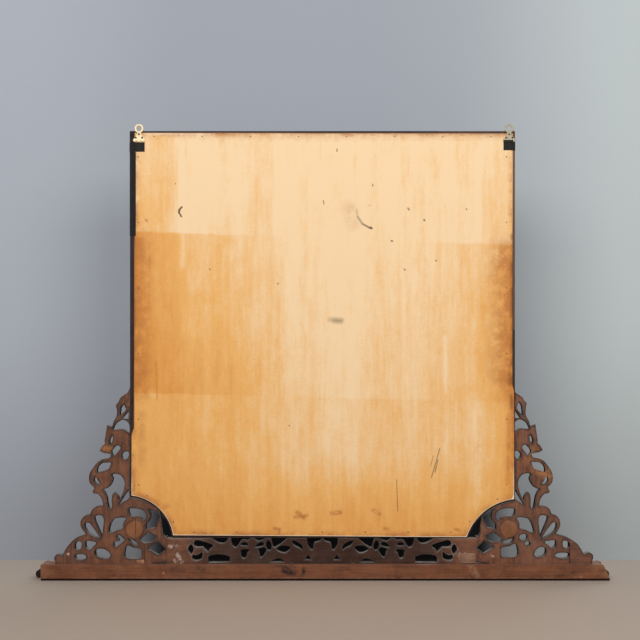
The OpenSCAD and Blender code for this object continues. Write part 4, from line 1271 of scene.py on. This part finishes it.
def frame_section():
    """Section of the frame: in from its outer edge, and forward from its back."""
    front, wall, seat = FRAME_T, FACE_W - REBATE_W, REBATE_D
    sight_r, bead_r = 4.0, 7.0
    hollow_in, hollow_out = FACE_W - 10, 21.0
    hollow_low, hollow_high = seat + 5.5, front - 6
    points = [(0.0, 0.0), (wall, 0.0), (wall, seat), (FACE_W, seat), (FACE_W, seat + 3)]
    points += arc(FACE_W - sight_r, seat + sight_r, sight_r, 0, 181, 18)
    points += [(FACE_W - 9, seat + 4), (hollow_in, hollow_low)]
    for i in range(1, 11):
        turn = math.radians(9 * i)
        points.append((hollow_in - (hollow_in - hollow_out) * i / 10,
                       hollow_low + (hollow_high - hollow_low) * (1 - math.cos(turn))))
    points.append((hollow_out - 1, hollow_high))
    points += arc(11.5, front - bead_r, bead_r, 10, 171, 16)
    points += [(3.5, front - 8), (2.0, front - 9), (2.0, front - 12), (0.0, front - 13)]
    return rounded(points, radius=0.7, steps=2, least=40.0)


def notch(side):
    radius, out, under = NOTCH[side]
    return SIDE_X + out, FOOT_Z - under, radius


def joint_side(a, side):
    """Height at which the stile meets the concave corner, a in from the edge."""
    nx, nz, nr = notch(side)
    return nz + math.sqrt(max(0.0, (nr + a) ** 2 - (a + nx - SIDE_X) ** 2))


def joint_foot(a, side):
    """Distance from the middle at which the bottom rail meets the concave corner."""
    nx, nz, nr = notch(side)
    return nx - math.sqrt(max(0.0, (nr + a) ** 2 - (a + FOOT_Z - nz) ** 2))


def straight_member(name, node, start, end, along, section):
    """A frame member between two cut ends; start and end give x and z for a distance in."""
    stations = []
    for t in np.linspace(0, 1, 17):
        ring = []
        for a, b in section:
            (x1, z1), (x2, z2) = start(a), end(a)
            ring.append(metres(x1 + (x2 - x1) * t, BACK_Y - b, z1 + (z2 - z1) * t))
        stations.append(ring)
    add_piece(name, lofted(name, stations), [frame_wood(along)], node)


def make_frame():
    section = frame_section()
    gap = 0.06                       # keeps the members from touching
    straight_member("frame_head", "frame_top_rail", lambda a: (-SIDE_X + a + gap, TOP_Z - a),
                    lambda a: (SIDE_X - a - gap, TOP_Z - a), "x", section)
    straight_member("frame_foot", "frame_bottom_rail",
                    lambda a: (-joint_foot(a, -1) + gap, FOOT_Z + a),
                    lambda a: (joint_foot(a, 1) - gap, FOOT_Z + a), "x", section)
    for side, word in zip(SIDES, ("left", "right")):
        straight_member("frame_stile_" + word, f"frame_{word}_stile",
                        lambda a: (side * (SIDE_X - a), joint_side(a, side) + gap),
                        lambda a: (side * (SIDE_X - a), TOP_Z - a - gap), "z", section)
        nx, nz, nr = notch(side)
        stations = []
        for t in np.linspace(0, 1, 25):
            ring = []
            for a, b in section:
                first = math.atan2(joint_side(a, side) - nz, SIDE_X - a - nx)
                last = math.atan2(FOOT_Z + a - nz, joint_foot(a, side) - nx)
                turn = first + (last - first) * t
                ring.append(metres(side * (nx + (nr + a) * math.cos(turn)), BACK_Y - b,
                                   nz + (nr + a) * math.sin(turn)))
            stations.append(ring)
        name = "frame_hollow_" + word
        add_piece(name, lofted(name, stations), [frame_wood("x")],
                  f"frame_{word}_corner")


# Glass and backboard

def eased(drop, reach):
    """A depth for relief_board that only rounds the edge off; both lengths in millimetres."""
    return lambda x, z, distance: rounded_drop(distance, drop * MM, reach * MM)


def make_glass():
    low, high = box_mm("mirror_glass")
    loops = [refined(loop, 30 * MM) for loop in cap_loops("mirror_glass", 1)]
    ease = eased(0.5, 0.8)
    mesh = relief_board("silvered_plate", loops, high.y * MM, low.y * MM, ease, ease,
                        step=40 * MM, ring=1.2 * MM, seed=21, wall_steps=1, crease=8.0)
    glass = silvered_glass()
    add_piece("silvered_plate", mesh, [glass, glass], "mirror_glass")


def wavering(loop, amount, seed):
    """An outline sawn by hand, which wavers a little."""
    draw = random.Random(seed)
    phases = [(draw.uniform(20, 90), draw.uniform(0, 6)) for _ in range(5)]
    moved = loop.copy()
    middle = loop.mean(0)
    for k, (frequency, phase) in enumerate(phases):
        wave = np.sin((loop[:, 0] + 1.7 * loop[:, 1]) * frequency + phase) / (k + 1)
        towards = (middle - loop) / np.linalg.norm(middle - loop, axis=1)[:, None]
        moved += towards * (amount * 0.5 * (1 + wave))[:, None] / len(phases)
    return moved


def stroke_points(marks):
    """Points along marks, close enough to paint them on a mesh."""
    made = []
    for x, z, x2, z2, radius, soft, strength in marks:
        start, end = np.array([x, z]), np.array([x2, z2])
        length = np.hypot(*(end - start))
        line = (end - start) / length
        across = np.array([-line[1], line[0]])
        reach = radius + soft
        count = int(length / (1.2 * reach)) + 2
        for t in np.linspace(-reach, length + reach, count + 2):
            for out in (0, radius, radius + soft / 2, reach):
                made += [start + line * t + across * out, start + line * t - across * out]
        for t in (0, length):
            made += [start + line * t, start + line * (t - radius), start + line * (t + radius)]
    return np.unique(np.round(np.array(made), 2), axis=0) * MM


def stroke_values(points, marks):
    """How strongly marks cover points."""
    found = np.zeros(len(points))
    for x, z, x2, z2, radius, soft, strength in marks:
        away = edge_distance(points, np.array([[x, z, x2, z2]]) * MM) / MM
        t = np.clip((radius + soft - away) / soft, 0, 1)
        found = np.maximum(found, strength * t * t * (3 - 2 * t))
    return found


def make_backboard():
    low, high = box_mm("backboard")
    loops = sorted(cap_loops("backboard", 1), key=lambda loop: -np.ptp(loop[:, 0]))
    outline = wavering(refined(loops[0], 12 * MM), amount=0.8 * MM, seed=5)
    painted = {"scratched": SCRATCHES, "stained": STAINS, "grimy": EDGE_GRIME,
               "bleached": LIGHT_STREAKS}
    mesh = relief_board("old_backboard", [outline], high.y * MM, low.y * MM, eased(0.7, 1.2),
                        eased(0.5, 0.8), step=24 * MM, ring=1.6 * MM, seed=31, wall_steps=1,
                        crease=8.0, extra=stroke_points(sum(painted.values(), ())))
    points = np.array([v.co for v in mesh.vertices])
    rear = points[:, 1] > (low.y + high.y) / 2 * MM
    for name, marks in painted.items():
        paint(mesh, name, stroke_values(points[:, [0, 2]], marks) * rear)
    add_piece("old_backboard", mesh, [board_wood(), deal_wood()], "backboard")


# Hangers, screws and nails

def stamped_plate(eye):
    """Depth of the stamped face of a plate, which is raised round its eye."""
    raised_r, slope, rise = 11.5 * MM, 1.2 * MM, 0.3 * MM

    def depth(x, z, distance):
        away = np.hypot(x - eye[0], z - eye[1])
        lower = np.clip((away - raised_r) / slope, 0, 1)
        return rounded_drop(distance, 0.45 * MM, 0.9 * MM) + rise * lower
    return depth


def make_hangers():
    for side, word in zip(SIDES, ("left", "right")):
        node = "hanger_" + word
        low, high = box_mm(node)
        loops = [refined(loop, 1.2 * MM) for loop in cap_loops(node, 1)]
        holes = [loop for loop in loops if np.ptp(loop[:, 0]) < 20 * MM]
        eye = max(holes, key=lambda loop: np.ptp(loop[:, 0]))
        mesh = relief_board("hanger_plate_" + word, loops, high.y * MM, low.y * MM,
                            stamped_plate(eye.mean(0)), eased(0.5, 0.8), step=1.6 * MM,
                            ring=0.5 * MM, seed=41 + side, wall_steps=2)
        add_piece("hanger_plate_" + word, mesh, [brass(side), brass(side)], node)


# A head's section: shares of its radius and of its height.
HEAD_SECTION = ((1.0, 0.0), (1.0, 0.35), (0.86, 0.75), (0.5, 0.95))


def domed_head(work, centre, radius, height, turn, slot=0.0):
    """A round head on a flat face towards +Y, with a sawn slot if slot is over 0."""
    count = 18
    rings = []
    for share, rise in HEAD_SECTION:
        ring = []
        for i in range(count):
            angle = 2 * math.pi * i / count + turn
            flat = Vector((math.cos(angle) * share * radius, 0, math.sin(angle) * share * radius))
            across = abs(math.sin(angle - turn) * share * radius)
            sunk = height * 0.6 if across < slot and rise > 0.5 else 0.0
            ring.append(work.verts.new(centre + flat + Vector((0, rise * height - sunk, 0))))
        rings.append(ring)
    for low, high in zip(rings, rings[1:]):
        bridge(work, low, high)
    top = work.verts.new(centre + Vector((0, height * (0.35 if slot else 1.0), 0)))
    last = rings[-1]
    for a, b in zip(last, last[1:] + last[:1]):
        work.faces.new((a, b, top))
    work.faces.new(rings[0][::-1])


def make_screw_heads():
    for word in ("left", "right"):
        node = "hanger_screws_" + word
        work = bmesh.new()
        for k, (low, high) in enumerate(solids_of(node)):
            middle = (low + high) / 2
            centre = Vector((middle.x, PLATE_Y * MM - 0.3 * MM, middle.z))
            domed_head(work, centre, radius=2.5 * MM, height=1.1 * MM, turn=0.5 + 1.1 * k,
                       slot=0.45 * MM)
        name = "slotted_screws_" + word
        add_piece(name, settle(work, name), [iron()], node)


def make_nail_heads():
    work = bmesh.new()
    draw = random.Random(3)
    for low, high in solids_of("backboard_nails"):
        middle = (low + high) / 2
        centre = Vector((middle.x, BOARD_Y * MM - 0.1 * MM, middle.z))
        domed_head(work, centre, draw.uniform(1.4, 1.7) * MM, 0.6 * MM, draw.uniform(0, 6))
    add_piece("nail_heads", settle(work, "nail_heads"), [iron()], "backboard_nails")


def make_fixings():
    make_screw_heads()
    make_nail_heads()
    for node in ("base_dowels", "wing_dowels", "frieze_dowels", "frame_dowels", "packing_strips"):
        dress(node, deal_wood())
    dress("base_screws", iron())


# Tape, patch and cleat

def make_tape():
    tape = cloth_tape()
    for node in ("tape_strip", "tape_patch_left", "tape_patch_right"):
        dress(node, tape)


def make_repairs():
    for name, node, ease, material in (("old_cleat", "repair_cleat", 1.2, cleat_wood()),
                                       ("old_patch", "joint_patch", 0.4, patch_wood())):
        add_piece(name, eased_copy(name, node, ease * MM), [material], node)


# Stage

LAMP_AIM = Vector((0, 0, 0.55))


def make_camera():
    stage = settings().stage
    px_mm, image, sensor = 2.55, 640, 36.0
    centre_px, horizon_px = 322.5, 400.0
    camera = bpy.data.cameras.new("camera")
    camera.sensor_width = sensor
    camera.lens = stage.distance / (px_mm * MM) * sensor / image
    camera.shift_y = (horizon_px - image / 2) / image
    camera.clip_start = 0.05
    holder = add_object("camera", camera)
    holder.location = ((centre_px - image / 2) * px_mm * MM, BOARD_Y * MM + stage.distance,
                       stage.eye_height)
    holder.rotation_euler = (math.pi / 2, 0, math.pi)
    bpy.context.scene.camera = holder


def make_lamp(name, place, size, power):
    lamp = bpy.data.lights.new(name, "AREA")
    lamp.shape = "RECTANGLE"
    lamp.size, lamp.size_y = size
    lamp.energy = power
    holder = add_object(name, lamp)
    holder.location = place
    holder.rotation_euler = (LAMP_AIM - Vector(place)).to_track_quat("-Z", "Y").to_euler()


def make_floor():
    """A round floor that fades into the backdrop's colour far out."""
    stage = settings().stage
    work = bmesh.new()
    bmesh.ops.create_circle(work, cap_ends=True, radius=9.0, segments=96)
    mesh = bpy.data.meshes.new("studio_floor")
    work.to_mesh(mesh)
    work.free()
    material, w, shader, place = start_material("studio_floor")
    w.fill(shader, Base_Color=rgba(stage.floor), Roughness=0.9)
    glow = w.node("ShaderNodeEmission", Color=rgba(stage.backdrop), Strength=1.0)
    w.show_mix(w.ramp(w.vector("LENGTH", place), 1.6, 4.5), shader, glow)
    mesh.materials.append(material)
    floor = add_object("studio_floor", mesh)


def stage_board(name, half, high, y, colour, cover=None):
    """A plain upright board that shows only from the mirror's back; cover thins it out."""
    mesh = bpy.data.meshes.new(name)
    corners = [(half, 0), (-half, 0), (-half, high), (half, high)]
    mesh.from_pydata([(x, y, z) for x, z in corners], [], [(0, 1, 2, 3)])
    material, w, shader, place = start_material(name)
    parts = w.parts(place)
    w.fill(shader, Base_Color=colour(w, parts), Roughness=1.0, Specular_IOR_Level=0.0)
    away = w.node("ShaderNodeNewGeometry").outputs["Backfacing"]
    hidden = w.largest(away, cover(w, parts)) if cover else away
    w.show_mix(hidden, shader, w.node("ShaderNodeBsdfTransparent"))
    mesh.materials.append(material)
    board = add_object(name, mesh)
    board.visible_shadow = False
    board.visible_diffuse = False
    board.visible_glossy = False
    board.visible_transmission = False


def backdrop_colour(w, parts):
    """Painted light and shade on the backdrop: darker near the floor and in the middle behind the mirror,
    brighter and greener towards the mirror's left.
    """
    backdrop = settings().stage.backdrop
    x, z = parts["X"], parts["Z"]
    wall = w.blend(w.ramp(z, 0.0, 0.75), tinted(backdrop, 0.86), tinted(backdrop, 1.08))
    middle = w.ramp(w.math("ABSOLUTE", x), 0.35, 0.9, 1.0, 0.0)
    wall = w.blend(middle, wall, (0.86, 0.85, 0.85), "MULTIPLY")
    return w.blend(w.ramp(x, -0.1, -0.95), wall, (1.22, 1.25, 1.13), "MULTIPLY")


def deep_shade(w, parts):
    aside = w.ramp(w.math("ABSOLUTE", parts["X"]), 0.2, 0.42)
    return w.blend(aside, (0.006, 0.003, 0.003), (0.007, 0.009, 0.013))


def shade_cover(w, parts):
    """Where the shade behind the piercings thins out: towards the sides and upwards."""
    aside = w.ramp(w.math("ABSOLUTE", parts["X"]), 0.395, 0.49)
    return w.largest(0.04, w.largest(aside, w.ramp(parts["Z"], 0.14, 0.21)))


def make_backdrops():
    """The backdrop, and the shade that lies before the piercings close above the base."""
    stage_board("backdrop", half=9.0, high=7.0, y=settings().stage.backdrop_y,
                colour=backdrop_colour)
    stage_board("deep_shade", half=0.48, high=0.22, y=0.003, colour=deep_shade,
                cover=shade_cover)


def make_world():
    stage = settings().stage
    world = bpy.data.worlds.new("studio")
    bpy.context.scene.world = world
    world.use_nodes = True
    w = Wiring(world.node_tree)
    light = w.fill(world.node_tree.nodes["Background"], Color=(1, 1, 1, 1), Strength=stage.sky)
    seen = w.node("ShaderNodeBackground", Color=rgba(stage.backdrop), Strength=1.0)
    path = w.node("ShaderNodeLightPath").outputs
    shown = w.largest(path["Is Camera Ray"], path["Is Glossy Ray"], path["Is Transmission Ray"])
    w.show_mix(shown, light, seen, "World Output")


def make_stage():
    stage = settings().stage
    bpy.context.scene.view_settings.view_transform = "Standard"
    make_camera()
    make_world()
    make_floor()
    make_backdrops()
    make_lamp("key_lamp", (1.1, 3.0, 2.4), (2.2, 1.4), stage.key)
    make_lamp("fill_lamp", (-1.5, 2.9, 2.1), (2.0, 1.4), stage.fill)
    make_lamp("front_lamp", (-0.8, -3.0, 2.2), (2.4, 1.8), stage.front)


# Operators and panel

class MIRROR_OT_stage(bpy.types.Operator):
    """Adds the camera, the lamps and the floor"""
    bl_idname = "mirror.stage"
    bl_label = "Stage"
    bl_options = {"REGISTER", "UNDO"}

    def execute(self, context):
        make_stage()
        return {"FINISHED"}


class MIRROR_OT_base(bpy.types.Operator):
    """Adds the rail and the base moulding"""
    bl_idname = "mirror.base"
    bl_label = "Base"
    bl_options = {"REGISTER", "UNDO"}

    def execute(self, context):
        make_base()
        return {"FINISHED"}


class MIRROR_OT_carving(bpy.types.Operator):
    """Adds the pierced carved boards"""
    bl_idname = "mirror.carving"
    bl_label = "Carving"
    bl_options = {"REGISTER", "UNDO"}

    def execute(self, context):
        make_carving()
        return {"FINISHED"}


class MIRROR_OT_frame(bpy.types.Operator):
    """Adds the moulded frame"""
    bl_idname = "mirror.frame"
    bl_label = "Frame"
    bl_options = {"REGISTER", "UNDO"}

    def execute(self, context):
        make_frame()
        return {"FINISHED"}


class MIRROR_OT_glass(bpy.types.Operator):
    """Adds the silvered glass"""
    bl_idname = "mirror.glass"
    bl_label = "Glass"
    bl_options = {"REGISTER", "UNDO"}

    def execute(self, context):
        make_glass()
        return {"FINISHED"}


class MIRROR_OT_backboard(bpy.types.Operator):
    """Adds the old backboard"""
    bl_idname = "mirror.backboard"
    bl_label = "Backboard"
    bl_options = {"REGISTER", "UNDO"}

    def execute(self, context):
        make_backboard()
        return {"FINISHED"}


class MIRROR_OT_hangers(bpy.types.Operator):
    """Adds the stamped hanger plates"""
    bl_idname = "mirror.hangers"
    bl_label = "Hangers"
    bl_options = {"REGISTER", "UNDO"}

    def execute(self, context):
        make_hangers()
        return {"FINISHED"}


class MIRROR_OT_fixings(bpy.types.Operator):
    """Adds screws and nails, and dresses the hidden pieces"""
    bl_idname = "mirror.fixings"
    bl_label = "Fixings"
    bl_options = {"REGISTER", "UNDO"}

    def execute(self, context):
        make_fixings()
        return {"FINISHED"}


class MIRROR_OT_tape(bpy.types.Operator):
    """Dresses the black cloth tape"""
    bl_idname = "mirror.tape"
    bl_label = "Tape"
    bl_options = {"REGISTER", "UNDO"}

    def execute(self, context):
        make_tape()
        return {"FINISHED"}


class MIRROR_OT_repairs(bpy.types.Operator):
    """Adds the patch and the cleat"""
    bl_idname = "mirror.repairs"
    bl_label = "Repairs"
    bl_options = {"REGISTER", "UNDO"}

    def execute(self, context):
        make_repairs()
        return {"FINISHED"}


STEPS = (MIRROR_OT_stage, MIRROR_OT_base, MIRROR_OT_carving, MIRROR_OT_frame, MIRROR_OT_glass,
         MIRROR_OT_backboard, MIRROR_OT_hangers, MIRROR_OT_fixings, MIRROR_OT_tape,
         MIRROR_OT_repairs)


class MIRROR_PT_panel(bpy.types.Panel):
    """Lists the steps that build the mirror."""
    bl_idname = "MIRROR_PT_panel"
    bl_label = "Floor mirror"
    bl_space_type = "VIEW_3D"
    bl_region_type = "UI"
    bl_category = "Mirror"

    def draw(self, context):
        for step in STEPS:
            self.layout.operator(step.bl_idname)


GROUPS = (MirrorWoods, MirrorBoard, MirrorCarving, MirrorStage, MirrorSettings)


def register():
    for kind in GROUPS + STEPS + (MIRROR_PT_panel,):
        bpy.utils.register_class(kind)
    bpy.types.Scene.floor_mirror = PointerProperty(type=MirrorSettings)


def unregister():
    del bpy.types.Scene.floor_mirror
    for kind in reversed(GROUPS + STEPS + (MIRROR_PT_panel,)):
        bpy.utils.unregister_class(kind)


def main():
    register()
    make_groups()
    for step in STEPS:
        getattr(bpy.ops.mirror, step.bl_idname.split(".")[1])()


if __name__ == "__main__":
    main()
